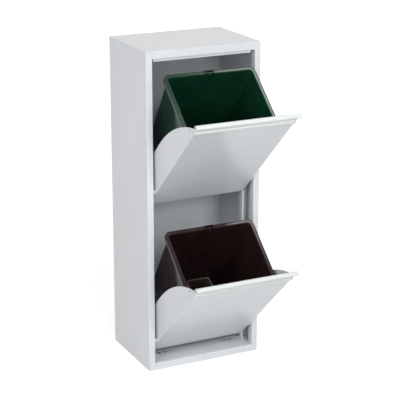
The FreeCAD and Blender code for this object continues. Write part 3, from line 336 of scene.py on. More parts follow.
def add_noise(tree, place, millimetres, detail, **more):
    """A noise whose features are that wide, as a socket."""
    inputs = {"Vector": place, "Scale": waves(millimetres), "Detail": detail, **more}
    return add_node(tree, "ShaderNodeTexNoise", inputs).outputs["Fac"]


def add_range(tree, share, start=0.0, end=1.0, low=0.0, high=1.0):
    """Take a value from the range start to end to the range low to high, as a socket."""
    inputs = {"Value": share, "From Min": start, "From Max": end, "To Min": low, "To Max": high}
    return add_node(tree, "ShaderNodeMapRange", inputs).outputs["Result"]


def add_maths(tree, operation, *given):
    """One sum on values or sockets, as a socket."""
    inputs = dict(enumerate(given))
    return add_node(tree, "ShaderNodeMath", inputs, operation=operation).outputs[0]


def add_colours(tree, share, first, second):
    """A blend of two colours, as a socket."""
    inputs = {0: share, MIX_A: first, MIX_B: second}
    return add_node(tree, "ShaderNodeMix", inputs, data_type="RGBA").outputs[MIX_OUT]


def add_relief(tree, height, strength, distance, **more):
    """A fine relief in the surface, as a socket with the normal."""
    inputs = {"Height": height, "Strength": strength, "Distance": distance, **more}
    return add_node(tree, "ShaderNodeBump", inputs).outputs["Normal"]


def add_surface(tree, body, gloss, skin, **more):
    """The principled shader of a finish and its output."""
    inputs = {"Base Color": body, "Roughness": gloss, "Normal": skin, **more}
    shader = add_node(tree, "ShaderNodeBsdfPrincipled", inputs)
    add_node(tree, "ShaderNodeOutputMaterial", {"Surface": shader.outputs[0]})


def powder_coat(colours):
    """Polyester powder sprayed on sheet steel and baked.

    It flows to a satin skin with a fine orange peel and lies thinner in places. A lighter colour along
    the sheet's edges is a painted highlight, where the rounded bends catch the light.
    """
    material, tree, place = new_material("powder_coated_steel")
    peel = add_noise(tree, place, 1.7, 2.0)
    cloud = add_noise(tree, place, 140, 3.0)
    rounded = add_node(tree, "ShaderNodeBevel", {"Radius": 0.0006}, samples=4).outputs["Normal"]
    skin = add_relief(tree, peel, 0.2, 0.00003, Normal=rounded)
    flat = add_node(tree, "ShaderNodeNewGeometry").outputs["Normal"]
    facing = add_node(tree, "ShaderNodeVectorMath", {0: rounded, 1: flat}, operation="DOT_PRODUCT")
    # Painted highlight: where the rounded normal turns away from the face, the colour is blended towards the
    # lighter edge colour.
    edge_highlight = add_range(tree, facing.outputs["Value"], 0.97, 0.72, high=0.7)
    thin = add_range(tree, cloud, 0.4, 0.62)
    body = add_colours(tree, thin, rgba(colours.coat), rgba(colours.coat_thin))
    highlighted = add_colours(tree, edge_highlight, body, rgba(colours.coat_edge_highlight))
    gloss = add_range(tree, cloud, low=0.22, high=0.24)
    add_surface(tree, highlighted, gloss, skin, IOR=1.52)
    return material


def lacquer(colours):
    """White lacquer on an extruded aluminium profile.

    It is smoother and whiter than the coat, and the die's fine lines run along it.
    """
    material, tree, place = new_material("lacquered_aluminium")
    along = add_node(tree, "ShaderNodeMapping", {"Vector": place, "Scale": (0.02, 1.0, 1.0)})
    lines = add_noise(tree, along.outputs["Vector"], 0.8, 1.0)
    peel = add_noise(tree, place, 2.5, 1.0)
    skin = add_relief(tree, add_maths(tree, "MULTIPLY_ADD", lines, 0.5, peel), 0.2, 0.00004)
    body = add_colours(tree, lines, rgba(colours.lacquer), rgba(colours.lacquer_line))
    gloss = add_range(tree, peel, low=0.26, high=0.34)
    add_surface(tree, body, gloss, skin, IOR=1.5)
    return material


def moulded_plastic(name, body_colour, flow_colour, smooth, rough):
    """Dyed plastic, injection moulded against a polished mould.

    It has a soft gloss, faint flow marks that rise with the wall, and the mould's fine grain.
    """
    material, tree, place = new_material(name)
    rising = add_node(tree, "ShaderNodeMapping", {"Vector": place, "Scale": (1.0, 1.0, 0.25)})
    flow = add_noise(tree, rising.outputs["Vector"], 45, 4.0, Distortion=0.6)
    grain = add_noise(tree, place, 0.9, 2.0)
    ripple = add_noise(tree, place, 28, 1.0)
    skin = add_relief(tree, add_maths(tree, "MULTIPLY_ADD", ripple, 4.0, grain), 0.3, 0.00006)
    marks = add_range(tree, flow, 0.35, 0.65)
    body = add_colours(tree, marks, rgba(body_colour), rgba(flow_colour))
    gloss = add_range(tree, flow, low=smooth, high=rough)
    add_surface(tree, body, gloss, skin, IOR=1.49)
    return material


def bare_metal(name, clean_colour, dull_colour, smooth, rough):
    """Plated, turned or bare metal with small clouds where it has dulled."""
    material, tree, place = new_material(name)
    cloud = add_noise(tree, place, 3, 3.0)
    scratch = add_noise(tree, place, 0.4, 1.0)
    skin = add_relief(tree, scratch, 0.25, 0.00002)
    body = add_colours(tree, cloud, rgba(clean_colour), rgba(dull_colour))
    gloss = add_range(tree, cloud, low=smooth, high=rough)
    add_surface(tree, body, gloss, skin, Metallic=1.0)
    return material


def make_finishes(colours):
    """Every finish, by the record's name for it."""
    c = colours
    return {
        "white_powder_coat": powder_coat(c),
        "handle_lacquer": lacquer(c),
        "green_plastic": moulded_plastic("moulded_polypropylene_green", c.green, c.green_flow, 0.14, 0.2),
        "brown_plastic": moulded_plastic("moulded_polypropylene_brown", c.brown, c.brown_flow, 0.14, 0.2),
        "caddy_plastic": moulded_plastic("moulded_polypropylene_caddy", c.caddy, c.caddy_flow, 0.18, 0.26),
        "bush_nylon": moulded_plastic("moulded_nylon", c.nylon, c.nylon_flow, 0.4, 0.5),
        "pin_steel": bare_metal("turned_steel", c.steel, c.steel_dull, 0.25, 0.4),
        "zinc_plate": bare_metal("zinc_plated_steel", c.zinc, c.zinc_dull, 0.3, 0.48),
        "screw_steel": bare_metal("stainless_steel", c.screw, c.screw_dull, 0.35, 0.5),
        "rivet_aluminium": bare_metal("bare_aluminium", c.rivet, c.rivet_dull, 0.32, 0.48),
    }


def finish(name):
    """A finish by its name in the record, made on first use."""
    if not FINISHES:
        FINISHES.update(make_finishes(bpy.context.scene.recycling_bin.colours))
    return FINISHES[name]


FINISHES = {}
SLOTS = {part["node"]: part["material_slot"] for part in frame["record"]["subparts"]}


def body_of(node):
    """The moving body that a CAD node belongs to."""
    return frame["nodes"][node]["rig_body"]


def dress(node):
    """Give a CAD node its finish."""
    solid = frame["nodes"][node]
    for slot in solid.material_slots:
        slot.material = finish(SLOTS[node])


def add_piece(name, mesh, *nodes):
    """Show a mesh in place of CAD nodes that share a body and a finish."""
    piece = bpy.data.objects.new(name, mesh)
    bpy.context.scene.collection.objects.link(piece)
    mesh.materials.clear()
    mesh.materials.append(finish(SLOTS[nodes[0]]))
    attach(piece, body_of(nodes[0]))
    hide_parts(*nodes)
    return piece


# Meshes -------------------------------------------------------------------------------------------


def turned_points(node, tilt):
    """A CAD node's vertices, turned back about X by the tilt."""
    back = Matrix.Rotation(-tilt, 3, "X")
    return [back @ vertex.co for vertex in frame["nodes"][node].data.vertices]


def box_of(points):
    """Lowest and highest corner of some points."""
    low = Vector([min(point[axis] for point in points) for axis in range(3)])
    high = Vector([max(point[axis] for point in points) for axis in range(3)])
    return low, high


def add_ring(work, half_x, half_y, corner, height, centre):
    """One loop of vertices: a rectangle with round corners, at one height."""
    loop = []
    for turn, (side_x, side_y) in enumerate(((1, -1), (1, 1), (-1, 1), (-1, -1))):
        for step in range(CORNER_STEPS + 1):
            bearing = math.pi / 2 * (turn - 1 + step / CORNER_STEPS)
            x = centre.x + side_x * (half_x - corner) + corner * math.cos(bearing)
            y = centre.y + side_y * (half_y - corner) + corner * math.sin(bearing)
            loop.append(work.verts.new((x, y, centre.z + height)))
    return loop


def skin_rings(rings, centre):
    """A closed mesh over rings that run from the middle of the foot round to the inner floor."""
    work = bmesh.new()
    loops = [add_ring(work, *ring, centre) for ring in rings]
    for low, high in zip(loops, loops[1:]):
        for number, vertex in enumerate(low):
            before = number - 1
            work.faces.new((low[before], vertex, high[number], high[before]))
    work.faces.new(reversed(loops[0]))
    work.faces.new(loops[-1])
    bmesh.ops.recalc_face_normals(work, faces=work.faces)
    return work


def quarter(start, end, first):
    """Offsets and heights along a quarter round from start to end.

    first names what changes first, "offset" or "height".
    """
    points = []
    for step in range(ROUND_STEPS + 1):
        bearing = math.pi / 2 * step / ROUND_STEPS
        early, late = math.sin(bearing), 1 - math.cos(bearing)
        shares = (early, late) if first == "offset" else (late, early)
        offset = start[0] + (end[0] - start[0]) * shares[0]
        height = start[1] + (end[1] - start[1]) * shares[1]
        points.append((offset, height))
    return points


def block(low, high, edge):
    """A box with rounded edges, as a mesh object for a boolean."""
    work = bmesh.new()
    bmesh.ops.create_cube(work, size=1)
    size = Vector(high) - Vector(low)
    middle = (Vector(high) + Vector(low)) / 2
    for vertex in work.verts:
        vertex.co = Vector(c * s for c, s in zip(vertex.co, size)) + middle
    bmesh.ops.bevel(work, geom=work.edges, offset=edge, segments=BLOCK_STEPS, profile=0.5, affect="EDGES")
    return object_from(work, "boolean_tool")


def object_from(work, name):
    """A linked object that holds a bmesh."""
    mesh = bpy.data.meshes.new(name)
    work.to_mesh(mesh)
    work.free()
    made = bpy.data.objects.new(name, mesh)
    bpy.context.scene.collection.objects.link(made)
    return made


def plain_mesh(made):
    """What an object's modifiers give, as a plain mesh; the object goes."""
    bpy.context.view_layer.update()
    shown = made.evaluated_get(bpy.context.evaluated_depsgraph_get())
    mesh = bpy.data.meshes.new_from_object(shown)
    bpy.data.objects.remove(made)
    return mesh


def combine(base, steps):
    """Add mesh objects to a base or cut them out of it, in order, and give back the mesh."""
    for number, (operation, tool) in enumerate(steps):
        change = base.modifiers.new(f"step_{number}", "BOOLEAN")
        change.operation = operation
        change.solver = "EXACT"
        change.object = tool
    mesh = plain_mesh(base)
    for _, tool in steps:
        bpy.data.objects.remove(tool)
    return mesh


def smooth(mesh):
    """Shade round faces smooth, keep the corners sharp and let the large faces lead."""
    mesh.shade_smooth()
    mesh.set_sharp_from_angle(angle=SMOOTH_ANGLE)
    carrier = bpy.data.objects.new("smooth", mesh)
    bpy.context.scene.collection.objects.link(carrier)
    lead = carrier.modifiers.new("large_faces_lead", "WEIGHTED_NORMAL")
    lead.keep_sharp = True
    return plain_mesh(carrier)


def rounded_copy(node, edge):
    """A CAD node's mesh with its triangles merged and its sharp edges rounded."""
    work = bmesh.new()
    work.from_mesh(frame["nodes"][node].data)
    bmesh.ops.remove_doubles(work, verts=work.verts, dist=MERGE)
    bmesh.ops.dissolve_limit(work, angle_limit=FLAT_ANGLE, verts=work.verts, edges=work.edges)
    made = object_from(work, node)
    bevel = made.modifiers.new("rounded_edges", "BEVEL")
    bevel.limit_method = "ANGLE"
    bevel.angle_limit = ROUND_FROM
    bevel.width = edge
    bevel.segments = EDGE_STEPS
    bevel.use_clamp_overlap = True
    return smooth(plain_mesh(made))


# Buckets ------------------------------------------------------------------------------------------


def bucket_rings(sizes, half_x, half_y):
    """Rings of a bucket's skin, from the recess under the foot over the rim to the inner floor."""
    s = sizes
    slope = math.tan(s.draft)
    mouth_corner = s.rim_corner - s.flange
    top = s.height
    under = top - s.wall
    inner_floor = s.recess + s.wall
    skirt_foot = top - s.skirt
    inside = s.flange - s.wall
    bead = s.flange - s.bead
    line = [(-s.border - s.edge, s.recess), (-s.border, s.recess - s.edge)]
    line += quarter((-s.border, s.edge), (-s.border + s.edge, 0), "height")
    line += quarter((-s.foot_round, 0), (0, s.foot_round), "offset")
    line += quarter((0, under - s.mouth_round), (s.mouth_round, under), "height")
    line += quarter((inside - s.edge, under), (inside, under - s.edge), "offset")
    line += quarter((inside, skirt_foot + s.edge), (inside + s.edge, skirt_foot), "height")
    line += quarter((s.flange - s.edge, skirt_foot), (s.flange, skirt_foot + s.edge), "offset")
    line += quarter((s.flange, top - s.rim_round), (s.flange - s.rim_round, top), "height")
    line += quarter((bead, top), (bead - s.groove, top - s.groove), "offset")
    line += quarter((s.groove, top - s.groove), (0, top), "height")[:-1]
    line += quarter((-s.wall + s.mouth_round, top), (-s.wall, top - s.mouth_round), "offset")
    foot_of_wall = (-s.wall, inner_floor + s.floor_round)
    line += quarter(foot_of_wall, (-s.wall - s.floor_round, inner_floor), "height")
    rings = []
    for offset, height in line:
        # The rim stands straight, so its rings keep the mouth's size.
        below_mouth = 0 if offset > s.mouth_round else top - height
        share = below_mouth / top
        corner = mouth_corner + (s.foot_corner - mouth_corner) * share + offset
        shrink = below_mouth * slope - offset
        rings.append((half_x - shrink, half_y - shrink, max(corner, s.least_corner), height))
    return rings


def bucket_mesh(door, sizes):
    """One bucket: a drafted skin, a grooved rim, a lug with a pocket on the rear rim and a tongue in it."""
    low, high = box_of(turned_points(f"{door}_bucket", sizes.tilt))
    centre = Vector(((low.x + high.x) / 2, (low.y + high.y) / 2, low.z))
    half_x = (high.x - low.x) / 2 - sizes.flange
    half_y = (high.y - low.y) / 2 - sizes.flange
    skin = skin_rings(bucket_rings(sizes, half_x, half_y), centre)
    skin_object = object_from(skin, f"{door}_bucket_skin")
    rim_top = centre.z + sizes.height
    wall_y = centre.y + half_y - sizes.wall
    lug_half = sizes.lug_width / 2
    lug_top = rim_top + sizes.lug_height
    lug_low = (centre.x - lug_half, wall_y, rim_top - sizes.skirt + sizes.edge)
    lug_high = (centre.x + lug_half, high.y - sizes.lug_inset, lug_top)
    pocket_half = lug_half - sizes.lug_wall
    pocket_low = (centre.x - pocket_half, wall_y + sizes.wall, rim_top - sizes.pocket)
    pocket_back = lug_high[1] - sizes.lug_wall
    pocket_high = (centre.x + pocket_half, pocket_back, lug_top + sizes.wall)
    tongue_half = sizes.tongue_width / 2
    tongue_low = (centre.x - tongue_half, wall_y - sizes.tongue_depth, rim_top - sizes.tongue_drop)
    tongue_high = (centre.x + tongue_half, wall_y + 2 * sizes.wall, lug_top - 2 * sizes.edge)
    steps = [
        ("UNION", block(lug_low, lug_high, 2 * sizes.edge)),
        ("DIFFERENCE", block(pocket_low, pocket_high, sizes.edge)),
        ("UNION", block(tongue_low, tongue_high, sizes.tongue_round)),
    ]
    mesh = smooth(combine(skin_object, steps))
    mesh.transform(Matrix.Rotation(sizes.tilt, 4, "X"))
    return mesh


def caddy_rings(sizes, half_x, half_y):
    """Rings of the caddy's skin, from under its foot over the rim to its floor."""
    s = sizes
    slope = math.tan(s.draft)
    top = s.height
    rim_foot = top - s.rim_height
    line = quarter((-s.foot_round, 0), (0, s.foot_round), "offset")
    line += [(0, rim_foot)]
    line += quarter((s.rim - s.edge, rim_foot), (s.rim, rim_foot + s.edge), "offset")
    line += quarter((s.rim, top - s.edge), (s.rim - s.edge, top), "height")
    line += quarter((-s.wall + s.edge, top), (-s.wall, top - s.edge), "offset")
    line += quarter((-s.wall, s.wall + s.foot_round), (-s.wall - s.foot_round, s.wall), "height")
    rings = []
    for offset, height in line:
        below_mouth = 0 if offset > s.edge else top - height
        corner = max(s.corner - s.rim + offset - below_mouth / top * s.wall * 2, s.edge * 2)
        shrink = below_mouth * slope - offset
        rings.append((half_x - shrink, half_y - shrink, corner, height))
    return rings


def caddy_mesh(sizes, bucket):
    """The caddy: a small drafted box with a rim, and a hook over the bucket's rim."""
    low, high = box_of(turned_points("lower_caddy", bucket.tilt))
    middle_x = high.x - sizes.width / 2
    middle_y = (low.y + high.y) / 2
    centre = Vector((middle_x, middle_y, low.z))
    half_x = sizes.width / 2 - sizes.rim
    half_y = (high.y - low.y) / 2 - sizes.rim
    skin = object_from(skin_rings(caddy_rings(sizes, half_x, half_y), centre), "caddy_skin")
    rim_top = low.z + sizes.height
    left = high.x - sizes.width
    front, back = middle_y - sizes.hook_width / 2, middle_y + sizes.hook_width / 2
    bridge_foot = high.z - sizes.hook_sheet
    riser_end = left + sizes.rim + sizes.wall
    round_off = sizes.edge
    drop_foot = rim_top - sizes.hook_drop
    hook = (
        ((left + round_off, front, rim_top - sizes.wall), (riser_end, back, high.z)),
        ((low.x, front, bridge_foot), (riser_end - round_off, back, high.z)),
        ((low.x, front, drop_foot), (low.x + sizes.hook_sheet, back, high.z)),
    )
    mesh = smooth(combine(skin, [("UNION", block(*corners, round_off)) for corners in hook]))
    mesh.transform(Matrix.Rotation(bucket.tilt, 4, "X"))
    return mesh


# Fasteners ----------------------------------------------------------------------------------------

FASTENER_INPUTS = (
    "Head radius",
    "Head height",
    "Dome",
    "Shank radius",
    "Shank length",
    "Tail radius",
    "Tail length",
    "Socket radius",
)


def add_disc(tree, radius, thickness, centre_height):
    """Nodes for one round step of a fastener; gives back its mesh socket."""
    sizes = {"Vertices": DISC_SIDES, "Fill Segments": 4, "Radius": radius, "Depth": thickness}
    disc = add_node(tree, "GeometryNodeMeshCylinder", sizes, fill_type="TRIANGLE_FAN")
    lift = add_node(tree, "ShaderNodeCombineXYZ", {"Z": centre_height})
    placed = {"Geometry": disc.outputs["Mesh"], "Translation": lift.outputs["Vector"]}
    return add_node(tree, "GeometryNodeTransform", placed).outputs["Geometry"]


def fastener_tree():
    """Geometry nodes that put one turned fastener at each place, with its head out and its tail in."""
    tree = bpy.data.node_groups.new("turned_fasteners", "GeometryNodeTree")
    tree.interface.new_socket("Places", in_out="INPUT", socket_type="NodeSocketGeometry")
    for name in FASTENER_INPUTS:
        tree.interface.new_socket(name, in_out="INPUT", socket_type="NodeSocketFloat")
    tree.interface.new_socket("Finish", in_out="INPUT", socket_type="NodeSocketMaterial")
    tree.interface.new_socket("Fasteners", in_out="OUTPUT", socket_type="NodeSocketGeometry")
    given = add_node(tree, "NodeGroupInput").outputs

    def work_out(operation, *values):
        return add_maths(tree, operation, *values)

    head_middle = work_out("MULTIPLY", given["Head height"], -0.5)
    shank_top = work_out("MULTIPLY", given["Head height"], -1.0)
    shank_middle = work_out("SUBTRACT", shank_top, work_out("MULTIPLY", given["Shank length"], 0.5))
    tail_top = work_out("SUBTRACT", shank_top, given["Shank length"])
    tail_middle = work_out("SUBTRACT", tail_top, work_out("MULTIPLY", given["Tail length"], 0.5))
    head = add_disc(tree, given["Head radius"], given["Head height"], head_middle)
    shank = add_disc(tree, given["Shank radius"], given["Shank length"], shank_middle)
    tail = add_disc(tree, given["Tail radius"], given["Tail length"], tail_middle)
    spot = add_node(tree, "GeometryNodeInputPosition").outputs["Position"]
    parts = add_node(tree, "ShaderNodeSeparateXYZ", {"Vector": spot}).outputs
    squares = work_out("ADD", work_out("POWER", parts["X"], 2.0), work_out("POWER", parts["Y"], 2.0))
    share = work_out("DIVIDE", squares, work_out("POWER", given["Head radius"], 2.0))
    drop = work_out("MULTIPLY", work_out("MULTIPLY", share, given["Dome"]), -1.0)
    fall = add_node(tree, "ShaderNodeCombineXYZ", {"Z": drop}).outputs["Vector"]
    on_top = work_out("GREATER_THAN", parts["Z"], head_middle)
    domed_inputs = {"Geometry": head, "Selection": on_top, "Offset": fall}
    domed = add_node(tree, "GeometryNodeSetPosition", domed_inputs).outputs["Geometry"]
    socket_sizes = {
        "Vertices": SOCKET_SIDES,
        "Radius": given["Socket radius"],
        "Depth": given["Head height"],
    }
    socket = add_node(tree, "GeometryNodeMeshCylinder", socket_sizes, fill_type="NGON").outputs["Mesh"]
    recess = add_node(tree, "GeometryNodeMeshBoolean", {"Mesh 1": domed}, operation="DIFFERENCE")
    tree.links.new(socket, recess.inputs["Mesh 2"])
    has_socket = work_out("GREATER_THAN", given["Socket radius"], 0.0)
    choice = {"Switch": has_socket, "False": domed, "True": recess.outputs["Mesh"]}
    chosen = add_node(tree, "GeometryNodeSwitch", choice, input_type="GEOMETRY").outputs["Output"]
    whole = add_node(tree, "GeometryNodeJoinGeometry")
    for step in (chosen, shank, tail):
        tree.links.new(step, whole.inputs["Geometry"])
    label = {"Name": "outward"}
    outward = add_node(tree, "GeometryNodeInputNamedAttribute", label, data_type="FLOAT_VECTOR")
    aim_inputs = {"Vector": outward.outputs["Attribute"]}
    aim = add_node(tree, "FunctionNodeAlignRotationToVector", aim_inputs, axis="Z")
    points = add_node(tree, "GeometryNodeMeshToPoints", {"Mesh": given["Places"]})
    placing = {
        "Points": points.outputs["Points"],
        "Instance": whole.outputs["Geometry"],
        "Rotation": aim.outputs["Rotation"],
    }
    placed = add_node(tree, "GeometryNodeInstanceOnPoints", placing)
    real = add_node(tree, "GeometryNodeRealizeInstances", {"Geometry": placed.outputs["Instances"]})
    coated_inputs = {"Geometry": real.outputs["Geometry"], "Material": given["Finish"]}
    coated = add_node(tree, "GeometryNodeSetMaterial", coated_inputs)
    add_node(tree, "NodeGroupOutput", {"Fasteners": coated.outputs["Geometry"]})
    return tree


def islands(points, faces):
    """Groups of point numbers that faces join."""
    leader = list(range(len(points)))

    def lead(number):
        while leader[number] != number:
            number = leader[number]
        return number

    for face in faces:
        first = lead(face[0])
        for other in face[1:]:
            leader[lead(other)] = first
    groups = {}
    for number in range(len(points)):
        groups.setdefault(lead(number), []).append(number)
    return list(groups.values())


def fastener_places(node, tilt):
    """Each fastener of a CAD node: its axis, outer end, outward direction and length."""
    work = bmesh.new()
    work.from_mesh(frame["nodes"][node].data)
    bmesh.ops.remove_doubles(work, verts=work.verts, dist=MERGE)
    work.verts.index_update()
    back = Matrix.Rotation(-tilt, 3, "X")
    points = [back @ vertex.co for vertex in work.verts]
    faces = [[vertex.index for vertex in face.verts] for face in work.faces]
    work.free()
    turn = Matrix.Rotation(tilt, 3, "X")
    places = []
    for group in islands(points, faces):
        low, high = box_of([points[number] for number in group])
        size = high - low
        # The axis is the one whose two others are alike.
        unlike = [abs(size[1] - size[2]), abs(size[0] - size[2]), abs(size[0] - size[1])]
        axis = unlike.index(min(unlike))
        middle = (low + high) / 2
        outward = Vector((0, 0, 0))
        outward[axis] = -1 if axis == 0 and middle.x < 0 else 1
        end = middle + outward * size[axis] / 2
        places.append((axis, turn @ end, turn @ outward, size[axis]))
    return places


def turned_fasteners(name, node, tilt, tree, sizes):
    """One mesh of all fasteners of a CAD node, with the sizes of their head, shank, tail and socket."""
    sockets = [item for item in tree.interface.items_tree if item.in_out == "INPUT"]
    identifiers = {item.name: item.identifier for item in sockets}
    places = fastener_places(node, tilt)
    joined = bmesh.new()
    for axis in sorted({place[0] for place in places}):
        chosen = [place for place in places if place[0] == axis]
        spots = bpy.data.meshes.new(f"{name}_places")
        spots.from_pydata([place[1] for place in chosen], [], [])
        outward = spots.attributes.new("outward", "FLOAT_VECTOR", "POINT")
        for number, place in enumerate(chosen):
            outward.data[number].vector = place[2]
        carrier = bpy.data.objects.new(f"{name}_places", spots)
        bpy.context.scene.collection.objects.link(carrier)
        modifier = carrier.modifiers.new("turned_fasteners", "NODES")
        modifier.node_group = tree
        shank_length = chosen[0][3] - sizes["Head height"] - sizes["Tail length"]
        for label, size in {**sizes, "Shank length": shank_length}.items():
            modifier[identifiers[label]] = size
        modifier[identifiers["Finish"]] = finish(SLOTS[node])
        part = plain_mesh(carrier)
        joined.from_mesh(part)
        bpy.data.meshes.remove(part)
    mesh = bpy.data.meshes.new(name)
    joined.to_mesh(mesh)
    joined.free()
    add_piece(name, smooth(mesh), node)


# Operators ----------------------------------------------------------------------------------------


class BIN_OT_steel(bpy.types.Operator):
    """Coat the steel panels, doors, shelves and stops"""

    bl_idname = "recycling_bin.steel"
    bl_label = "Coated steel"

    def execute(self, context):
        for node, slot in SLOTS.items():
            if slot == "white_powder_coat":
                dress(node)
        return {"FINISHED"}


class BIN_OT_pivots(bpy.types.Operator):
    """Finish the pivot pins and their bushes"""

    bl_idname = "recycling_bin.pivots"
    bl_label = "Pivots"

    def execute(self, context):
        for node, slot in SLOTS.items():
            if slot in ("pin_steel", "bush_nylon"):
                dress(node)
        return {"FINISHED"}


class BIN_OT_handles(bpy.types.Operator):
    """Round and lacquer the handles, and plate the brackets behind them"""

    bl_idname = "recycling_bin.handles"
    bl_label = "Handles"

    def execute(self, context):
        edge = context.scene.recycling_bin.stage.handle_edge
        for door in DOORS:
            for part in ("handle", "handle_brackets"):
                node = f"{door}_{part}"
                add_piece(f"{door}_rounded_{part}", rounded_copy(node, edge), node)
        return {"FINISHED"}


class BIN_OT_buckets(bpy.types.Operator):
    """Mould the two buckets"""

    bl_idname = "recycling_bin.buckets"
    bl_label = "Buckets"

    def execute(self, context):
        for door in DOORS:
            mesh = bucket_mesh(door, context.scene.recycling_bin.bucket)
            add_piece(f"{door}_moulded_bucket", mesh, f"{door}_bucket")
        return {"FINISHED"}


class BIN_OT_caddy(bpy.types.Operator):
    """Mould the caddy in the lower bucket"""

    bl_idname = "recycling_bin.caddy"
    bl_label = "Caddy"

    def execute(self, context):
        settings = context.scene.recycling_bin
        add_piece("lower_moulded_caddy", caddy_mesh(settings.caddy, settings.bucket), "lower_caddy")
        return {"FINISHED"}


class BIN_OT_fasteners(bpy.types.Operator):
    """Turn the rivets, screws and stop studs"""

    bl_idname = "recycling_bin.fasteners"
    bl_label = "Fasteners"

    def execute(self, context):
        settings = context.scene.recycling_bin
        s = settings.fasteners
        tree = fastener_tree()
        rivet = {
            "Head radius": s.rivet_head,
            "Head height": s.rivet_rise,
            "Dome": s.rivet_rise / 2,
            "Shank radius": s.rivet_shank,
            "Tail radius": s.rivet_tail,
            "Tail length": s.rivet_tail_length,
            "Socket radius": 0.0,
        }
        shelf_rivet = {**rivet, "Head height": s.shelf_rivet_rise, "Dome": s.shelf_rivet_rise / 2}
        screw = {
            "Head radius": s.screw_head,
            "Head height": s.screw_rise,
            "Dome": s.screw_rise / 2,
            "Shank radius": s.screw_shank,
            "Tail radius": s.screw_shank,
            "Tail length": s.screw_shank,
            "Socket radius": s.screw_socket,
        }
        stud = {
            "Head radius": s.stud_peg,
            "Head height": s.stud_peg_length,
            "Dome": s.stud_shank / 4,
            "Shank radius": s.stud_shank,
            "Tail radius": s.stud_tail,
            "Tail length": s.stud_tail_length,
            "Socket radius": 0.0,
        }
        turned_fasteners("back_panel_domed_rivets", "back_panel_rivets", 0.0, tree, rivet)
        tilt, door_angle = settings.bucket.tilt, settings.stage.door_angle
        for door in DOORS:
            turned_fasteners(f"{door}_shelf_domed_rivets", f"{door}_shelf_rivets", tilt, tree, shelf_rivet)
            turned_fasteners(f"{door}_socket_screws", f"{door}_handle_screws", door_angle, tree, screw)
            turned_fasteners(f"{door}_turned_studs", f"{door}_stop_studs", door_angle, tree, stud)
        bpy.data.node_groups.remove(tree)
        return {"FINISHED"}


def floor_material(colours):
    """Matt white paper that is plain white before the camera and in gloss, and keeps the object's shadow.

    Under the cabinet it stays as dark as it is.
    """
    material, tree, place = new_material("stage_paper")
    fibre = add_noise(tree, place, 6, 2.0)
    skin = add_relief(tree, fibre, 0.05, 0.0001)
    paper = {"Base Color": rgba(colours.floor), "Roughness": 0.9, "Normal": skin}
    shader = add_node(tree, "ShaderNodeBsdfPrincipled", paper)
    low, high = box_of([vertex.co for vertex in frame["nodes"]["base_panel"].data.vertices])
    middle = (low + high) / 2
    from_middle = add_node(tree, "ShaderNodeVectorMath", {0: place, 1: middle}, operation="SUBTRACT")
    away = add_node(tree, "ShaderNodeVectorMath", {0: from_middle.outputs[0]}, operation="ABSOLUTE")
    parts = add_node(tree, "ShaderNodeSeparateXYZ", {"Vector": away.outputs[0]}).outputs
    beside = add_maths(tree, "GREATER_THAN", parts["X"], high.x - middle.x)
    beyond = add_maths(tree, "GREATER_THAN", parts["Y"], high.y - middle.y)
    outside = add_maths(tree, "MAXIMUM", beside, beyond)
    path = add_node(tree, "ShaderNodeLightPath").outputs
    rays = add_maths(tree, "MAXIMUM", path["Is Camera Ray"], path["Is Glossy Ray"])
    seen = add_maths(tree, "MULTIPLY", rays, outside)
    reach = add_node(tree, "ShaderNodeVectorMath", {0: from_middle.outputs[0]}, operation="LENGTH")
    level = add_range(tree, reach.outputs["Value"], NEAR, FAR, NEAR_GLOW, FAR_GLOW)
    share = add_maths(tree, "MULTIPLY", seen, level)
    glow = add_node(tree, "ShaderNodeEmission", {"Color": (1, 1, 1, 1), "Strength": share})
    both = add_node(tree, "ShaderNodeAddShader", {0: shader.outputs[0], 1: glow.outputs[0]})
    add_node(tree, "ShaderNodeOutputMaterial", {"Surface": both.outputs[0]})
    return material


def set_world(stage):
    """Plain white before the camera, and a studio with a bright backdrop for light and for gloss."""
    world = bpy.data.worlds.new("studio")
    world.use_nodes = True
    tree = world.node_tree
    tree.nodes.clear()
    path = add_node(tree, "ShaderNodeLightPath").outputs
    bearing = add_node(tree, "ShaderNodeTexCoord").outputs["Generated"]
    depth = add_node(tree, "ShaderNodeSeparateXYZ", {"Vector": bearing}).outputs["Y"]
    light = add_range(tree, depth, start=-1.0, low=stage.sky_front, high=stage.sky_back)
    gloss = add_range(tree, depth, FRONT_ENDS, BACKDROP_STARTS, stage.gloss_front, stage.gloss_back)
    mirrored = add_maths(tree, "MAXIMUM", path["Is Glossy Ray"], path["Is Transmission Ray"])
    lighting = add_node(tree, "ShaderNodeMix", {0: mirrored, 2: light, 3: gloss}, data_type="FLOAT")
    shown = {0: path["Is Camera Ray"], 2: lighting.outputs[0], 3: 1.0}
    brightness = add_node(tree, "ShaderNodeMix", shown, data_type="FLOAT").outputs[0]
    white = {"Color": (1, 1, 1, 1), "Strength": brightness}
    studio = add_node(tree, "ShaderNodeBackground", white)
    add_node(tree, "ShaderNodeOutputWorld", {"Surface": studio.outputs[0]})
    bpy.context.scene.world = world


def add_lamp(name, place, target, size, power, tint):
    """A soft square lamp that faces a target."""
    lamp = bpy.data.lights.new(name, "AREA")
    lamp.color = tint
    lamp.shape = "SQUARE"
    lamp.size = size
    lamp.energy = power
    holder = bpy.data.objects.new(name, lamp)
    holder.location = place
    holder.rotation_euler = (Vector(target) - Vector(place)).to_track_quat("-Z", "Y").to_euler()
    bpy.context.scene.collection.objects.link(holder)


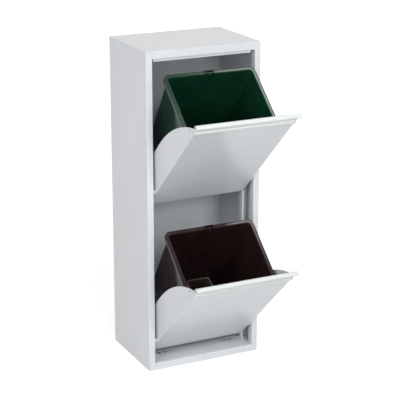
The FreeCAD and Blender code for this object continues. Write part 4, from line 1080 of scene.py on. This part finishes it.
class BIN_OT_stage(bpy.types.Operator):
    """Set the floor, the studio light and the camera"""

    bl_idname = "recycling_bin.stage"
    bl_label = "Stage"

    def execute(self, context):
        settings = context.scene.recycling_bin
        stage, colours = settings.stage, settings.colours
        half = stage.floor_half
        corners = [(-half, -half, 0), (half, -half, 0), (half, half, 0), (-half, half, 0)]
        sheet = bpy.data.meshes.new("floor")
        sheet.from_pydata(corners, [], [(0, 1, 2, 3)])
        sheet.materials.append(floor_material(colours))
        floor = bpy.data.objects.new("floor", sheet)
        context.scene.collection.objects.link(floor)
        set_world(stage)
        middle = (CAD_BOX[0] + CAD_BOX[1]) / 2
        tint = colours.other_light
        add_lamp("front_lamp", FRONT_LAMP, middle, FRONT_WIDTH, stage.front_power, colours.front_light)
        add_lamp("rim_lamp", RIM_LAMP, middle, RIM_WIDTH, stage.rim_power, tint)
        add_lamp("key_lamp", KEY_LAMP, middle, KEY_WIDTH, stage.key_power, tint)
        add_lamp("top_lamp", TOP_LAMP, middle, TOP_WIDTH, stage.top_power, tint)
        eye = bpy.data.cameras.new("camera")
        eye.lens = stage.focal_length
        eye.sensor_width = SENSOR_WIDTH
        camera = bpy.data.objects.new("camera", eye)
        camera.location = stage.camera_place
        level = math.pi / 2
        camera.rotation_euler = Euler((level - stage.camera_pitch, 0, -stage.camera_turn))
        context.scene.collection.objects.link(camera)
        context.scene.camera = camera
        context.scene.view_settings.view_transform = "Standard"
        return {"FINISHED"}


PIECE_OPERATORS = (
    BIN_OT_steel,
    BIN_OT_pivots,
    BIN_OT_handles,
    BIN_OT_buckets,
    BIN_OT_caddy,
    BIN_OT_fasteners,
    BIN_OT_stage,
)


class BIN_PT_sidebar(bpy.types.Panel):
    """Lists the bin's settings and pieces"""

    bl_idname = "BIN_PT_sidebar"
    bl_label = "Recycling bin"
    bl_space_type = "VIEW_3D"
    bl_region_type = "UI"
    bl_category = "Recycling bin"

    def draw(self, context):
        layout = self.layout
        settings = context.scene.recycling_bin
        for operator in PIECE_OPERATORS:
            layout.operator(operator.bl_idname)
        for group in (settings.colours, settings.bucket, settings.caddy, settings.fasteners, settings.stage):
            box = layout.box()
            for name in group.__annotations__:
                box.prop(group, name)


PROPERTY_GROUPS = (BinColours, BucketSizes, CaddySizes, FastenerSizes, StageSizes, BinSettings)


def register():
    """Register the settings, the operators and the panel."""
    for kind in (*PROPERTY_GROUPS, *PIECE_OPERATORS, BIN_PT_sidebar):
        bpy.utils.register_class(kind)
    bpy.types.Scene.recycling_bin = PointerProperty(type=BinSettings)


def unregister():
    """Take them away again."""
    del bpy.types.Scene.recycling_bin
    for kind in reversed((*PROPERTY_GROUPS, *PIECE_OPERATORS, BIN_PT_sidebar)):
        bpy.utils.unregister_class(kind)


def main():
    """Build the looks."""
    register()
    for operator in PIECE_OPERATORS:
        group, name = operator.bl_idname.split(".")
        getattr(getattr(bpy.ops, group), name)()


if __name__ == "__main__":
    main()
